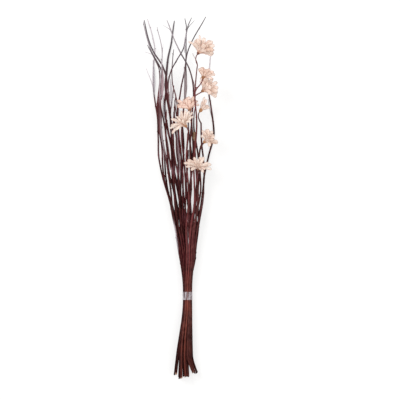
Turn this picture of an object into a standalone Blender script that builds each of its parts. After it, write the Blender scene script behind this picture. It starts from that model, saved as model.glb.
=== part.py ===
"""A dried flower bouquet, lying on its side.

Thirty woody stems pass through one clear tie near their cut ends. They lie in seven rows,
packed like honeycomb in the tie, and the rows fan out above and below it, so that stems of
different rows cross when seen from above. Dried blooms with narrow curled petals end six of
the stems and two side branches. Lengths are in millimetres up to the point where a mesh is made.
Across is measured from the tie's middle, along from the cut ends, up from the surface.
"""

import math
import random
from typing import NamedTuple

import bmesh
import bpy
import numpy as np
from mathutils import Vector

MM = 0.001

# The bundle
LENGTH = 1000.0
TIE_MIDDLE = 228.0
TIE_WIDTH = 22.0
TIE_WALL = 0.8
CLEARANCE = 0.3
TIE_BOTTOM = TIE_MIDDLE - TIE_WIDTH / 2
TIE_TOP = TIE_MIDDLE + TIE_WIDTH / 2

# Stem thickness (radius) at the cut end, in the tie, half way up and at a tip. A stem that
# ends low down has a blunter tip.
CUT_RADIUS = 2.7
TIE_RADIUS = 2.05
MIDDLE_RADIUS = 2.4
MIDDLE_FROM = TIE_TOP + 200.0
MIDDLE_TO = 680.0
TIP_RADIUS = 1.2
BLUNTEST_TIP = 1.8
FINE_TIP_FROM = 760.0
BRANCH_RADIUS = 1.6
SHOOT_RADIUS = 1.0
SIDES_RESOLUTION = 1

# How far a stem sways, and how closely its bends are followed
SWAY = 3.6
LONGEST_STEP = 110.0
SHORTEST_STEP = 24.0
STRAIGHT_ENOUGH = 0.55

# How the rows pack in the tie and part from each other towards both ends
SLOT_PITCH = 4.4
ROW_PITCH = 3.85
ROW_PITCH_AT_TOP = 17.0
ROW_PITCH_AT_CUTS = 7.2
LOWEST_ROW = TIE_WALL + CLEARANCE + TIE_RADIUS

# Below the tie the bundle leans to the left as far as a knee, and splays from there to the cuts
KNEE_HEIGHT = 66.0
CALF_HEIGHT = 140.0
KNEE_SHIFT = -8.2
KNEE_SPREAD = 1.9
CUT_PLACES = {
    3: (-16.5, -5.0, 15.0),
    4: (-22.0, -10.5, 0.5, 15.5),
    5: (-31.5, -18.0, -4.5, 2.3, 20.0),
    6: (-35.5, -23.3, -10.0, 2.2, 15.5, 26.0),
}
# The cut ends stand in four bunches: up to how far right each reaches, and where it is cut
CUT_BUNCHES = ((-27.0, 10.0), (-13.0, 1.5), (9.0, 6.0), (40.0, 15.0))

# Blooms: petals in three layers round an egg-shaped heart. The inner layer is shorter. Petals
# turn their faces up, and one that would reach below or above its room is pressed almost flat.
FACING_UP = 0.75
PETAL_THICKNESS = 0.8
PETAL_WIDTH_SHARE = 0.33
PETAL_STATIONS = 4
PRESSED = 0.92
INNER_LENGTH = 0.86
HEART_RADIUS = 5.0
HEART_LENGTH = 13.0
NECK = 26.0

BARK = (0.075, 0.022, 0.020)
GREY_LEAF = (0.11, 0.075, 0.07)
RED_STEM = (0.16, 0.05, 0.045)
CREAM = (0.80, 0.62, 0.50)
BROWN_BUD = (0.25, 0.13, 0.06)
CLEAR_FILM = (0.62, 0.60, 0.62)


class Stem(NamedTuple):
    """One woody stem. Its route runs from above the tie to its tip, as (across, along).

    Girth is its share of the usual thickness, and stout is how far along it keeps that.
    """

    name: str
    route: tuple
    girth: float = 1.0
    stout: float = MIDDLE_TO
    bloom: str = ""
    shoots: tuple = ()
    branches: tuple = ()


class Shoot(NamedTuple):
    """A side twig: how far along the stem it leaves, and where its tip is."""

    leaves: float
    tip: tuple
    radius: float = SHOOT_RADIUS
    rise: float = 0.0


class Branch(NamedTuple):
    """A side branch that carries a bloom."""

    leaves: float
    bloom: str


class Bloom(NamedTuple):
    """A dried bloom: where its base is, which way it opens, and its petals."""

    base: tuple
    heading: float
    tilt: float
    petals: int
    length: float
    inner: float
    outer: float
    lowest: float
    highest: float = 1000.0


BLOOMS = {
    "bloom_top": Bloom((27, 890, 99), 53, 8, 16, 46, 18, 85, 82),
    "bloom_right": Bloom((38, 788, 82), 38, 8, 15, 44, 22, 88, 66, 101),
    "bloom_upper_right": Bloom((42, 822, 114), 76, 12, 12, 32, 12, 58, 108),
    "bloom_middle": Bloom((8, 735, 69), 108, 10, 13, 43, 18, 80, 62, 76.5),
    "bloom_star": Bloom((-2, 691, 96), 128, 24, 15, 47, 23, 91, 89, 118),
    "bloom_side": Bloom((44, 649, 64), 42, 32, 14, 40, 22, 76, 56),
    "bloom_low": Bloom((29, 574, 80), 84, 44, 15, 40, 24, 88, 72),
    "bloom_small": Bloom((33, 734, 54), 55, 10, 8, 29, 12, 40, 47),
}

# Rows from the surface upwards, and the stems of each from left to right
ROWS = (
    (
        Stem(
            "twig_low_left",
            ((-22, 365), (-44, 459), (-65, 534), (-78, 630), (-88, 734), (-92, 822), (-94, 905), (-109, 993)),
            girth=0.9,
            shoots=(Shoot(792, (-114, 855)), Shoot(886, (-116, 901))),
        ),
        Stem(
            "twig_low_middle",
            ((-8, 355), (-24, 492), (-42, 630), (-53, 754), (-57, 822), (-56, 883), (-48, 927), (-34, 987)),
            girth=1.3,
            stout=830,
        ),
        Stem(
            "twig_low_right",
            ((21, 333), (34, 451), (44, 534), (60, 610), (69, 671), (65, 754), (59, 828), (60, 891)),
            girth=1.05,
            shoots=(Shoot(655, (57, 770), 0.9),),
        ),
    ),
    (
        Stem(
            "twig_second_left",
            ((-24, 368), (-40, 465), (-62, 580), (-74, 690), (-77, 767), (-74, 836), (-98, 905), (-122, 984)),
            stout=780,
        ),
        Stem(
            "twig_second_inner",
            ((-14.5, 368), (-26, 465), (-37, 575), (-44, 685), (-43, 754), (-41, 808)),
            shoots=(Shoot(700, (-50, 790)),),
        ),
        Stem(
            "twig_second_crossing",
            (
                (-8, 382), (-16, 520), (-23, 657), (-25, 740), (-21, 800),
                (-8, 855), (1, 891), (21, 943), (47, 997),
            ),
            girth=1.05,
        ),
        Stem(
            "twig_second_right",
            ((7, 424), (8, 575), (6, 685), (3, 767)),
            shoots=(Shoot(640, (12, 728)),),
        ),
    ),
    (
        Stem(
            "twig_third_left",
            ((-25, 362), (-52, 506), (-70, 602), (-79, 698), (-80, 781), (-80, 844), (-94, 888), (-107, 919)),
        ),
        Stem(
            "twig_third_leaning",
            (
                (-15, 368), (-29, 470), (-43, 588), (-53, 685), (-61, 767),
                (-61, 822), (-70, 862), (-92, 902), (-121, 987),
            ),
            girth=1.2,
            stout=780,
        ),
        Stem(
            "twig_third_inner",
            ((-7, 355), (-17, 465), (-28, 602), (-32, 698), (-34, 781)),
            shoots=(Shoot(655, (-23, 742)),),
        ),
        Stem(
            "twig_third_crossing",
            (
                (7, 355), (9, 465), (11, 588), (15, 685), (15, 767),
                (11, 817), (3, 858), (-19, 905), (-37, 938), (-60, 987),
            ),
            girth=1.1,
            shoots=(Shoot(955, (-67, 974), 0.7),),
        ),
        Stem("twig_third_right", ((18, 368), (24, 465), (28, 551), (25, 630), (21, 698), (21, 748))),
    ),
    (
        Stem(
            "twig_fourth_left",
            ((-21, 355), (-37, 506), (-52, 602), (-65, 685), (-73, 760), (-71, 836), (-72, 883), (-84, 968)),
            girth=0.9,
            shoots=(Shoot(866, (-67, 919), 0.8),),
        ),
        Stem(
            "twig_fourth_leaning",
            (
                (-13, 368), (-24, 492), (-36, 602), (-45, 685), (-50, 754), (-50, 808),
                (-45, 847), (-32, 877), (-14, 910), (1, 968), (14, 993),
            ),
            shoots=(Shoot(955, (18, 985), 0.9),),
        ),
        Stem(
            "twig_fourth_inner",
            ((-7.5, 368), (-15, 478), (-23, 588), (-29, 685), (-32, 767)),
        ),
        Stem("twig_fourth_middle", ((-0.5, 368), (-7, 465), (-11, 561), (-14, 644), (-16, 718))),
        Stem("twig_fourth_short", ((5, 368), (3, 465), (0, 547), (-1, 630))),
        Stem("twig_fourth_right", ((22, 355), (29, 451), (33, 520), (36, 588))),
    ),
    (
        Stem("twig_fifth_left", ((-23, 382), (-43, 492), (-59, 588), (-69, 685), (-72, 781))),
        Stem(
            "twig_fifth_wavy",
            (
                (-7, 368), (-14, 506), (-19, 616), (-22, 698), (-28, 754),
                (-34, 781), (-45, 817), (-47, 844), (-43, 877), (-38, 905),
            ),
            girth=0.9,
        ),
        Stem(
            "twig_fifth_tall",
            (
                (-1, 355), (-6, 465), (-10, 575), (-12, 671), (-9, 754),
                (-7, 800), (-7, 850), (-4, 899), (1, 965), (-4, 990),
            ),
        ),
        Stem(
            "bud_stem",
            ((11, 355), (16, 424), (22, 520), (22, 602), (23, 655)),
            bloom="bud",
        ),
        Stem(
            "flower_stem_small",
            (
                (21, 355), (32, 451), (38, 514), (44, 558), (45, 602), (43, 641),
                (41, 679), (38, 712), (33, 734),
            ),
            bloom="bloom_small",
        ),
    ),
    (
        Stem("twig_sixth_left", ((-18, 382), (-32, 478), (-45, 575), (-55, 657), (-60, 740))),
        Stem("twig_sixth_inner", ((-10, 368), (-18, 451), (-29, 561), (-37, 657), (-41, 734)), girth=0.9),
        Stem(
            "flower_stem_middle",
            ((6, 355), (6, 478), (8, 575), (11, 644), (11, 698), (8, 733)),
            bloom="bloom_middle",
        ),
        Stem(
            "flower_stem_side",
            ((15, 355), (28, 465), (33, 534), (34, 588), (37, 624), (44, 649)),
            bloom="bloom_side",
        ),
    ),
    (
        Stem("flower_stem_star", ((-1, 382), (0, 520), (1, 602), (0, 657), (-2, 693)), bloom="bloom_star"),
        Stem(
            "flower_stem_top",
            ((6, 355), (16, 492), (21, 602), (22, 698), (23, 767), (25, 808), (26, 864), (30, 897)),
            bloom="bloom_top",
            shoots=(
                Shoot(788, (17, 819), 1.1, 3),
                Shoot(795, (32, 803), 1.4, 5),
                Shoot(858, (14, 893), 0.7, -6),
            ),
            branches=(Branch(772, "bloom_right"), Branch(779, "bloom_upper_right")),
        ),
        Stem("flower_stem_low", ((13, 355), (24, 478), (28, 534), (29, 571)), bloom="bloom_low"),
    ),
)

# A long bud on a stem of its own, and the dry leaf that lies along one of the twigs
BUD_LENGTH = 26.0
BUD_RADIUS = 4.5
LEAF_TWIG = "twig_fifth_tall"
LEAF_FOOT = (-8.0, 762.0)
LEAF_TIP = (-9.0, 858.0)
LEAF_BOW = 3.5
LEAF_WIDTH = 8.5
LEAF_FOOT_WIDTH = 1.6
LEAF_ABOVE_TWIG = 2.5
LEAF_ARCH = 1.5


def clear_scene():
    for thing in list(bpy.data.objects):
        bpy.data.objects.remove(thing, do_unlink=True)


def new_collection(name):
    group = bpy.data.collections.new(name)
    bpy.context.scene.collection.children.link(group)
    return group


def finish_of(name, colour, roughness):
    material = bpy.data.materials.get(name)
    if material is None:
        material = bpy.data.materials.new(name)
        material.use_nodes = True
        shader = material.node_tree.nodes["Principled BSDF"]
        shader.inputs["Base Color"].default_value = (*colour, 1.0)
        shader.inputs["Roughness"].default_value = roughness
        shader.inputs["Metallic"].default_value = 0.0
    return material


def slopes_through(places, values):
    """Slopes of a smooth curve through the points that never swings past one."""
    steps = np.diff(values) / np.diff(places)
    slopes = np.concatenate([[steps[0]], np.zeros(len(steps) - 1), [steps[-1]]])
    for i in range(1, len(steps)):
        if steps[i - 1] * steps[i] > 0:
            slopes[i] = 2 * steps[i - 1] * steps[i] / (steps[i - 1] + steps[i])
    return slopes


def smooth_value(place, places, values, slopes):
    """The height of that curve at one place."""
    i = int(np.clip(np.searchsorted(places, place) - 1, 0, len(places) - 2))
    width = places[i + 1] - places[i]
    t = (place - places[i]) / width
    rising = t * t * (3 - 2 * t)
    start = t * (1 - t) ** 2 * width * slopes[i]
    end = t * t * (t - 1) * width * slopes[i + 1]
    return values[i] * (1 - rising) + values[i + 1] * rising + start + end


def row_pitch(along):
    """How far apart two neighbouring rows are in height."""
    if along > TIE_TOP:
        share = (along - TIE_TOP) / (LENGTH - TIE_TOP)
        return ROW_PITCH + (ROW_PITCH_AT_TOP - ROW_PITCH) * share**0.9
    share = max(TIE_BOTTOM - along, 0.0) / TIE_BOTTOM
    return ROW_PITCH + (ROW_PITCH_AT_CUTS - ROW_PITCH) * share**0.8


def row_height(row, along):
    return LOWEST_ROW + row * row_pitch(along)


def stem_radius(stem, along, tip):
    """Stems swell to their cuts, stay even through the middle and thin out to the tip."""
    places = (0.0, TIE_BOTTOM, TIE_TOP + 50, MIDDLE_FROM, stem.stout, max(tip, stem.stout + 1))
    end = min(TIP_RADIUS + 0.0035 * max(0.0, FINE_TIP_FROM - tip), BLUNTEST_TIP)
    radii = (CUT_RADIUS, TIE_RADIUS, TIE_RADIUS, MIDDLE_RADIUS, MIDDLE_RADIUS, end)
    thickness = float(np.interp(along, places, radii))
    own = float(np.clip((along - TIE_TOP) / (MIDDLE_FROM - TIE_TOP), 0.0, 1.0))
    return thickness * (1 + (stem.girth - 1) * own)


def cut_place(row, slot):
    """Across and along of a stem's cut end, in one of the four bunches."""
    across = CUT_PLACES[len(ROWS[row])][slot]
    height = next(height for right, height in CUT_BUNCHES if across < right)
    return across, height + (row * 37 + slot * 53) % 5 - 2


def slot_place(row, slot):
    return (slot - (len(ROWS[row]) - 1) / 2) * SLOT_PITCH


def stem_curve(row, slot):
    """The stem's middle line as a function that gives its point for any place along it."""
    stem = ROWS[row][slot]
    place = slot_place(row, slot)
    across, cut = cut_place(row, slot)
    knee = KNEE_SHIFT + KNEE_SPREAD * place
    points = [(across, cut), (knee, KNEE_HEIGHT), (place, TIE_BOTTOM), (place, TIE_TOP), *stem.route]
    places = np.array([along for _, along in points], float)
    values = np.array([x for x, _ in points], float)
    slopes = slopes_through(places, values)
    draw = random.Random(row)
    phase, bend = draw.uniform(0, 6.28) + 0.3 * slot, draw.uniform(0.021, 0.033)
    sway = random.Random(f"{row} {slot}").uniform(0, 6.28)

    def point(along):
        x = smooth_value(along, places, values, slopes)
        above = max(0.0, along - TIE_TOP)
        room = max(0.0, row_pitch(along) - ROW_PITCH - 1.2)
        loose = min(1.0, above / 240.0)
        x += SWAY * loose * math.sin(bend * along + phase)
        z = row_height(row, along) + loose * 0.26 * room * math.sin(bend * 0.5 * along + sway)
        if row == 0:
            z = LOWEST_ROW - loose * (LOWEST_ROW - stem_radius(stem, along, places[-1]) - 0.1)
        return Vector((x, along, z))

    return point, cut, float(places[-1])


def neck_points(points, base, axis):
    """Ends a line of points by bending it up into the base of what it carries."""
    kept = [p for p in points if (p - base).length > NECK]
    start, corner, end = kept[-1], base - axis * NECK * 0.55, base - axis * CLEARANCE
    for t in (0.3, 0.55, 0.8, 1.0):
        kept.append(start * (1 - t) ** 2 + corner * 2 * t * (1 - t) + end * t * t)
    return kept


def bloom_axis(bloom):
    heading, tilt = math.radians(bloom.heading), math.radians(bloom.tilt)
    return Vector((math.cos(heading) * math.cos(tilt), math.sin(heading) * math.cos(tilt), math.sin(tilt)))


def tube(name, points, radii, group, material):
    """A round tapering rod along the points, with closed ends."""
    curve = bpy.data.curves.new(name, "CURVE")
    curve.dimensions = "3D"
    curve.bevel_depth = MM
    curve.bevel_resolution = SIDES_RESOLUTION
    curve.use_fill_caps = True
    line = curve.splines.new("POLY")
    line.points.add(len(points) - 1)
    for knot, point, radius in zip(line.points, points, radii, strict=True):
        knot.co = (*(point * MM), 1.0)
        knot.radius = radius
    curve.materials.append(material)
    rod = bpy.data.objects.new(name, curve)
    group.objects.link(rod)
    return rod


def as_mesh(thing):
    """The object with its curve or modifiers made into one plain mesh, its caps welded on."""
    graph = bpy.context.evaluated_depsgraph_get()
    mesh = bpy.data.meshes.new_from_object(thing.evaluated_get(graph))
    shape = bmesh.new()
    shape.from_mesh(mesh)
    bmesh.ops.remove_doubles(shape, verts=shape.verts, dist=1e-6)
    shape.to_mesh(mesh)
    shape.free()
    mesh.name = thing.name
    made = bpy.data.objects.new(thing.name, mesh)
    made.matrix_world = thing.matrix_world
    thing.users_collection[0].objects.link(made)
    name = thing.name
    bpy.data.objects.remove(thing)
    made.name = name
    return made


def fuse(trunk, pieces):
    """Joins the pieces to the trunk in one Boolean union, and removes them."""
    group = new_collection(trunk.name + " pieces")
    for piece in pieces:
        for old in piece.users_collection:
            old.objects.unlink(piece)
        group.objects.link(piece)
    union = trunk.modifiers.new("union", "BOOLEAN")
    union.operation = "UNION"
    union.operand_type = "COLLECTION"
    union.collection = group
    joined = as_mesh(trunk)
    for piece in pieces:
        bpy.data.objects.remove(piece)
    bpy.data.collections.remove(group)
    return joined


def bend_rod(start, heading, end, arrival, count):
    """Points of an arc that leaves along one direction and arrives along another."""
    reach = (end - start).length
    first, second = start + heading * reach * 0.4, end - arrival * reach * 0.35
    points = []
    for i in range(count + 1):
        t = i / count
        points.append(
            start * (1 - t) ** 3 + first * 3 * t * (1 - t) ** 2 + second * 3 * t * t * (1 - t) + end * t**3
        )
    return points


def stations(point, low, high):
    """Places from one to the other, close together only where the line bends."""
    middle = (low + high) / 2
    bow = (point(middle) - (point(low) + point(high)) / 2).length
    if high - low < SHORTEST_STEP or (bow < STRAIGHT_ENOUGH and high - low < LONGEST_STEP):
        return [high]
    return stations(point, low, middle) + stations(point, middle, high)


def make_stem(row, slot, group):
    stem = ROWS[row][slot]
    point, cut, tip = stem_curve(row, slot)
    places = [cut, KNEE_HEIGHT, CALF_HEIGHT, TIE_BOTTOM, TIE_TOP, *stations(point, TIE_TOP, tip)]
    points = [point(along) for along in places]
    if stem.bloom == "bud":
        points = neck_points(points, *bud_seat())
    elif stem.bloom:
        bloom = BLOOMS[stem.bloom]
        points = neck_points(points, Vector(bloom.base), bloom_axis(bloom))
    radii = [stem_radius(stem, p.y, tip) for p in points]
    bark, red = finish_of("bark", BARK, 0.65), finish_of("red stem", RED_STEM, 0.6)
    material = red if stem.bloom else bark
    rod = tube(stem.name, points, radii, group, material)
    twigs = []
    for shoot in stem.shoots:
        start = point(shoot.leaves)
        heading = (point(shoot.leaves + 5) - start).normalized()
        end = Vector((*shoot.tip, point(shoot.tip[1] if shoot.tip[1] < tip else tip).z + shoot.rise))
        line = bend_rod(start, heading, end, (end - start).normalized(), 4)
        sizes = np.linspace(1.25, 0.9, len(line)) * shoot.radius
        twigs.append(as_mesh(tube("shoot", line, sizes, group, material)))
    for branch in stem.branches:
        bloom = BLOOMS[branch.bloom]
        start = point(branch.leaves)
        heading = (point(branch.leaves + 5) - start).normalized()
        axis = bloom_axis(bloom)
        line = bend_rod(start, heading, Vector(bloom.base) - axis * CLEARANCE, axis, 7)
        twigs.append(as_mesh(tube("branch", line, [BRANCH_RADIUS] * len(line), group, material)))
    rod = as_mesh(rod)
    if twigs:
        rod = fuse(rod, twigs)
    rod.data.shade_smooth()
    return rod


def petal_line(spread, turn, length, curl, up):
    """Places along a petal, with its way across at each, in the bloom's own frame."""
    outward = Vector((math.cos(turn), math.sin(turn), 0.0))
    across = Vector((-math.sin(turn), math.cos(turn), 0.0))
    side = math.copysign(1.0, math.sin(turn))
    spot = outward * HEART_RADIUS * 0.35 + Vector((0, 0, HEART_LENGTH * 0.3))
    last = PETAL_STATIONS - 1
    line = []
    for i in range(PETAL_STATIONS):
        t = i / last
        lean = spread * (0.45 + 0.55 * min(1.0, t * 1.6)) + curl * max(0.0, t - 0.55) / 0.45
        forward = outward * math.sin(lean) + Vector((0, 0, math.cos(lean)))
        level = forward.cross(up) * side
        line.append((spot.copy(), across.lerp(level, FACING_UP * min(1.0, 2 * t)).normalized()))
        spot += forward * length / last
    return line


def petal_width(t, length):
    """Narrow at the root, widest past the middle, blunt at the tip."""
    swell = 0.34 + 0.66 * min(1.0, t / 0.6) ** 0.8
    narrowing = 1 - 0.4 * max(0.0, t - 0.75) / 0.25
    return PETAL_WIDTH_SHARE * length * swell * narrowing


def make_petal(line, length, up, room, group, material):
    """One curled blade. Where it would reach below or above its room, it is pressed flat."""
    lowest, highest = room
    mesh = bpy.data.meshes.new("petal")
    shape = bmesh.new()
    edges = []
    for i, (spot, across) in enumerate(line):
        half = across * petal_width(i / (len(line) - 1), length) / 2
        pair = []
        for side in (spot - half, spot + half):
            height = side.dot(up)
            over = height - min(max(height, lowest), highest)
            pair.append(shape.verts.new((side - up * over * PRESSED) * MM))
        edges.append(pair)
    for (a, b), (c, d) in zip(edges, edges[1:], strict=False):
        shape.faces.new((a, b, d))
        shape.faces.new((a, d, c))
    shape.to_mesh(mesh)
    shape.free()
    petal = bpy.data.objects.new("petal", mesh)
    mesh.materials.append(material)
    wall = petal.modifiers.new("thickness", "SOLIDIFY")
    wall.thickness = PETAL_THICKNESS * MM
    wall.offset = 0.0
    group.objects.link(petal)
    return petal


def heart_of(name, group, material):
    """The egg-shaped base of a bloom, its foot at the origin."""
    mesh = bpy.data.meshes.new(name)
    shape = bmesh.new()
    bmesh.ops.create_uvsphere(shape, u_segments=8, v_segments=5, radius=1.0)
    size = Vector((HEART_RADIUS, HEART_RADIUS, HEART_LENGTH / 2)) * MM
    bmesh.ops.scale(shape, vec=size, verts=shape.verts)
    bmesh.ops.translate(shape, vec=(0, 0, HEART_LENGTH / 2 * MM), verts=shape.verts)
    shape.to_mesh(mesh)
    shape.free()
    mesh.materials.append(material)
    heart = bpy.data.objects.new(name, mesh)
    group.objects.link(heart)
    return heart


def make_bloom(name, group):
    bloom = BLOOMS[name]
    material = finish_of("dried petal", CREAM, 0.7)
    rotation = bloom_axis(bloom).to_track_quat("Z", "Y")
    up = rotation.inverted() @ Vector((0, 0, 1))
    draw = random.Random(name)
    room = (bloom.lowest - bloom.base[2], bloom.highest - bloom.base[2])
    petals = []
    for i in range(bloom.petals):
        layer = i % 3
        spread = bloom.inner + (bloom.outer - bloom.inner) * layer / 2
        spread = math.radians(spread + draw.uniform(-5, 5))
        turn = 2 * math.pi * (i + draw.uniform(-0.14, 0.14)) / bloom.petals
        length = bloom.length * draw.uniform(0.84, 1.0) * (1 if layer else INNER_LENGTH)
        curl = math.radians(draw.uniform(-25, 40))
        line = petal_line(spread, turn, length, curl, up)
        petals.append(make_petal(line, length, up, room, group, material))
    heart = heart_of(name, group, material)
    whole = fuse(heart, petals)
    whole.location = Vector(bloom.base) * MM
    whole.rotation_euler = rotation.to_euler()
    whole.data.shade_smooth()
    whole.data.set_sharp_from_angle(angle=math.radians(35))
    return whole


def find_stem(fits):
    """Row and slot of the first stem that fits."""
    every = ((row, slot) for row, stems in enumerate(ROWS) for slot in range(len(stems)))
    return next((row, slot) for row, slot in every if fits(ROWS[row][slot]))


def bud_seat():
    """Base and direction of the bud, in line with the end of its stem."""
    row, slot = find_stem(lambda stem: stem.bloom == "bud")
    point, _, tip = stem_curve(row, slot)
    return point(tip), (point(tip) - point(tip - 20)).normalized()


def make_bud(group):
    base, axis = bud_seat()
    mesh = bpy.data.meshes.new("bud")
    shape = bmesh.new()
    bmesh.ops.create_uvsphere(shape, u_segments=10, v_segments=7, radius=1.0)
    bmesh.ops.scale(shape, vec=Vector((BUD_RADIUS, BUD_RADIUS, BUD_LENGTH / 2)) * MM, verts=shape.verts)
    bmesh.ops.translate(shape, vec=(0, 0, BUD_LENGTH / 2 * MM), verts=shape.verts)
    shape.to_mesh(mesh)
    shape.free()
    mesh.materials.append(finish_of("brown bud", BROWN_BUD, 0.7))
    bud = bpy.data.objects.new("bud", mesh)
    bud.location = base * MM
    bud.rotation_euler = axis.to_track_quat("Z", "Y").to_euler()
    group.objects.link(bud)
    mesh.shade_smooth()


def make_dry_leaf(group):
    """A long flat leaf that lies along the tall twig of the fifth row."""
    row, slot = find_stem(lambda stem: stem.name == LEAF_TWIG)
    point, _, _ = stem_curve(row, slot)
    mesh = bpy.data.meshes.new("dry_leaf")
    shape = bmesh.new()
    pairs = []
    steps = 8
    for i in range(steps + 1):
        t = i / steps
        x = LEAF_FOOT[0] + (LEAF_TIP[0] - LEAF_FOOT[0]) * t + LEAF_BOW * math.sin(math.pi * t)
        along = LEAF_FOOT[1] + (LEAF_TIP[1] - LEAF_FOOT[1]) * t
        half = (LEAF_FOOT_WIDTH + (LEAF_WIDTH - LEAF_FOOT_WIDTH) * math.sin(math.pi * t**0.8)) / 2
        z = point(along).z + LEAF_ABOVE_TWIG + LEAF_ARCH * math.sin(math.pi * t)
        pairs.append([shape.verts.new(Vector((x + side * half, along, z)) * MM) for side in (-1, 1)])
    for (a, b), (c, d) in zip(pairs, pairs[1:], strict=False):
        shape.faces.new((a, b, d))
        shape.faces.new((a, d, c))
    shape.to_mesh(mesh)
    shape.free()
    mesh.materials.append(finish_of("dry leaf", GREY_LEAF, 0.75))
    leaf = bpy.data.objects.new("dry_leaf", mesh)
    wall = leaf.modifiers.new("thickness", "SOLIDIFY")
    wall.thickness = PETAL_THICKNESS * MM
    wall.offset = 0.0
    group.objects.link(leaf)


def tie_outline(curve, grow):
    """Adds the rounded hexagon that lies this far outside the middles of the outer stems."""
    middle_row = len(ROWS) // 2
    corners = []
    for row in (0, middle_row, len(ROWS) - 1):
        corners.append((slot_place(row, len(ROWS[row]) - 1), row * ROW_PITCH))
    right = [corners[0], corners[1], corners[2]]
    left = [(-x, z) for x, z in reversed(right)]
    ring = right + left
    turns = 4
    line = curve.splines.new("POLY")
    line.use_cyclic_u = True
    points = []
    for i, (x, z) in enumerate(ring):
        before, after = ring[i - 1], ring[(i + 1) % len(ring)]
        first = math.atan2(z - before[1], x - before[0]) - math.pi / 2
        second = math.atan2(after[1] - z, after[0] - x) - math.pi / 2
        turn = (second - first) % (2 * math.pi)
        for step in range(turns + 1):
            angle = first + turn * step / turns
            points.append((x + grow * math.cos(angle), z + grow * math.sin(angle)))
    line.points.add(len(points) - 1)
    for knot, (x, z) in zip(line.points, points, strict=True):
        knot.co = (x * MM, z * MM, 0.0, 1.0)


def make_tie(group):
    """The clear band: a rounded hexagonal sleeve that wraps all seven rows."""
    curve = bpy.data.curves.new("tie_band", "CURVE")
    curve.dimensions = "2D"
    curve.fill_mode = "BOTH"
    curve.extrude = TIE_WIDTH / 2 * MM
    tie_outline(curve, TIE_RADIUS + CLEARANCE + TIE_WALL)
    tie_outline(curve, TIE_RADIUS + CLEARANCE)
    curve.materials.append(finish_of("clear film", CLEAR_FILM, 0.25))
    band = bpy.data.objects.new("tie_band", curve)
    band.location = Vector((0, TIE_MIDDLE, LOWEST_ROW)) * MM
    band.rotation_euler = (math.radians(90), 0, 0)
    group.objects.link(band)


def settle(group):
    """Sets the bouquet on the surface, with its middle over the origin."""
    bpy.context.view_layer.update()
    graph = bpy.context.evaluated_depsgraph_get()
    low, high = np.full(3, np.inf), np.full(3, -np.inf)
    for thing in group.objects:
        placed = thing.evaluated_get(graph)
        mesh = placed.to_mesh()
        for vertex in mesh.vertices:
            corner = np.array(placed.matrix_world @ vertex.co)
            low, high = np.minimum(low, corner), np.maximum(high, corner)
        placed.to_mesh_clear()
    middle = (low + high) / 2
    for thing in group.objects:
        thing.location -= Vector((middle[0], middle[1], low[2]))


def make_bouquet():
    clear_scene()
    group = new_collection("dried flower bouquet")
    for row, stems in enumerate(ROWS):
        for slot in range(len(stems)):
            make_stem(row, slot, group)
    for name in BLOOMS:
        make_bloom(name, group)
    make_bud(group)
    make_dry_leaf(group)
    make_tie(group)
    settle(group)


make_bouquet()
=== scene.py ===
"""A dried flower bouquet lying on a pale surface, seen from straight above.

Sizes are in millimetres, measured like the bouquet itself: across from the middle of the tie,
along from the cut ends, and up from the surface. They become metres where a mesh is made.
"""

import math
import random
from typing import NamedTuple

import bmesh
import bpy
import numpy as np
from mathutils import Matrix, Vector


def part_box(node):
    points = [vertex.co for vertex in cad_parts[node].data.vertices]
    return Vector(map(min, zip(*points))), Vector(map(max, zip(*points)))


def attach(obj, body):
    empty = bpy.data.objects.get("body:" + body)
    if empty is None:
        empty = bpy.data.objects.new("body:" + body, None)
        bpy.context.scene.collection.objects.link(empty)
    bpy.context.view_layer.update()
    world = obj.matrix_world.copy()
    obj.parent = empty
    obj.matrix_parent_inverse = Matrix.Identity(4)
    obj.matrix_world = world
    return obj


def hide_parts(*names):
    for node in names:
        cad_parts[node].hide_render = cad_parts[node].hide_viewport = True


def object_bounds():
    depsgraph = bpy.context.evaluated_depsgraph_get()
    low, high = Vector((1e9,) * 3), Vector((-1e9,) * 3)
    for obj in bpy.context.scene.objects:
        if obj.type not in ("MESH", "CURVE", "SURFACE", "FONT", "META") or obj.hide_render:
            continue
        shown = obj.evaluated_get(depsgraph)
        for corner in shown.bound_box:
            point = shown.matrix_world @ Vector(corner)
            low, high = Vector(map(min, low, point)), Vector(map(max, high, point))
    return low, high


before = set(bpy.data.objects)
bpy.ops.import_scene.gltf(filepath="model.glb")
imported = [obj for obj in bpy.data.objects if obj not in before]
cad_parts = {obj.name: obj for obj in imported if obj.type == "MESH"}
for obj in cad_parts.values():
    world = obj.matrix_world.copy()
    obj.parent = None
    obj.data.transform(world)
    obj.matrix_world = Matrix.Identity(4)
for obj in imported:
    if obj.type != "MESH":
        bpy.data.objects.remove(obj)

cad_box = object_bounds()
MM = 0.001

# Camera. It hangs over the table and looks straight down, with the cut ends at the bottom of
# the picture and the tips at the top. The tie in the frame tells where the bouquet lies.
PICTURE_SIDE = 1100.0
PICTURE_MIDDLE = (34.4, 492.3)
CAMERA_LENS = 300.0
SENSOR = 36.0
BUNCH_HEIGHT = 45.0
TIE_MIDDLE = 228.0

tie_low, tie_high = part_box("tie_band")
ORIGIN = Vector(((tie_low.x + tie_high.x) / 2, (tie_low.y + tie_high.y) / 2 - TIE_MIDDLE * MM, 0.0))


def placed(across, along, up):
    """A point of the bouquet, as metres in the frame."""
    return ORIGIN + Vector((across, along, up)) * MM


camera = bpy.data.objects.new("camera", bpy.data.cameras.new("camera"))
camera.data.lens = CAMERA_LENS
camera.data.sensor_width = SENSOR
camera.data.clip_end = 50.0
camera.location = placed(*PICTURE_MIDDLE, BUNCH_HEIGHT + PICTURE_SIDE * CAMERA_LENS / SENSOR)
bpy.context.scene.collection.objects.link(camera)
bpy.context.scene.camera = camera

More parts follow.
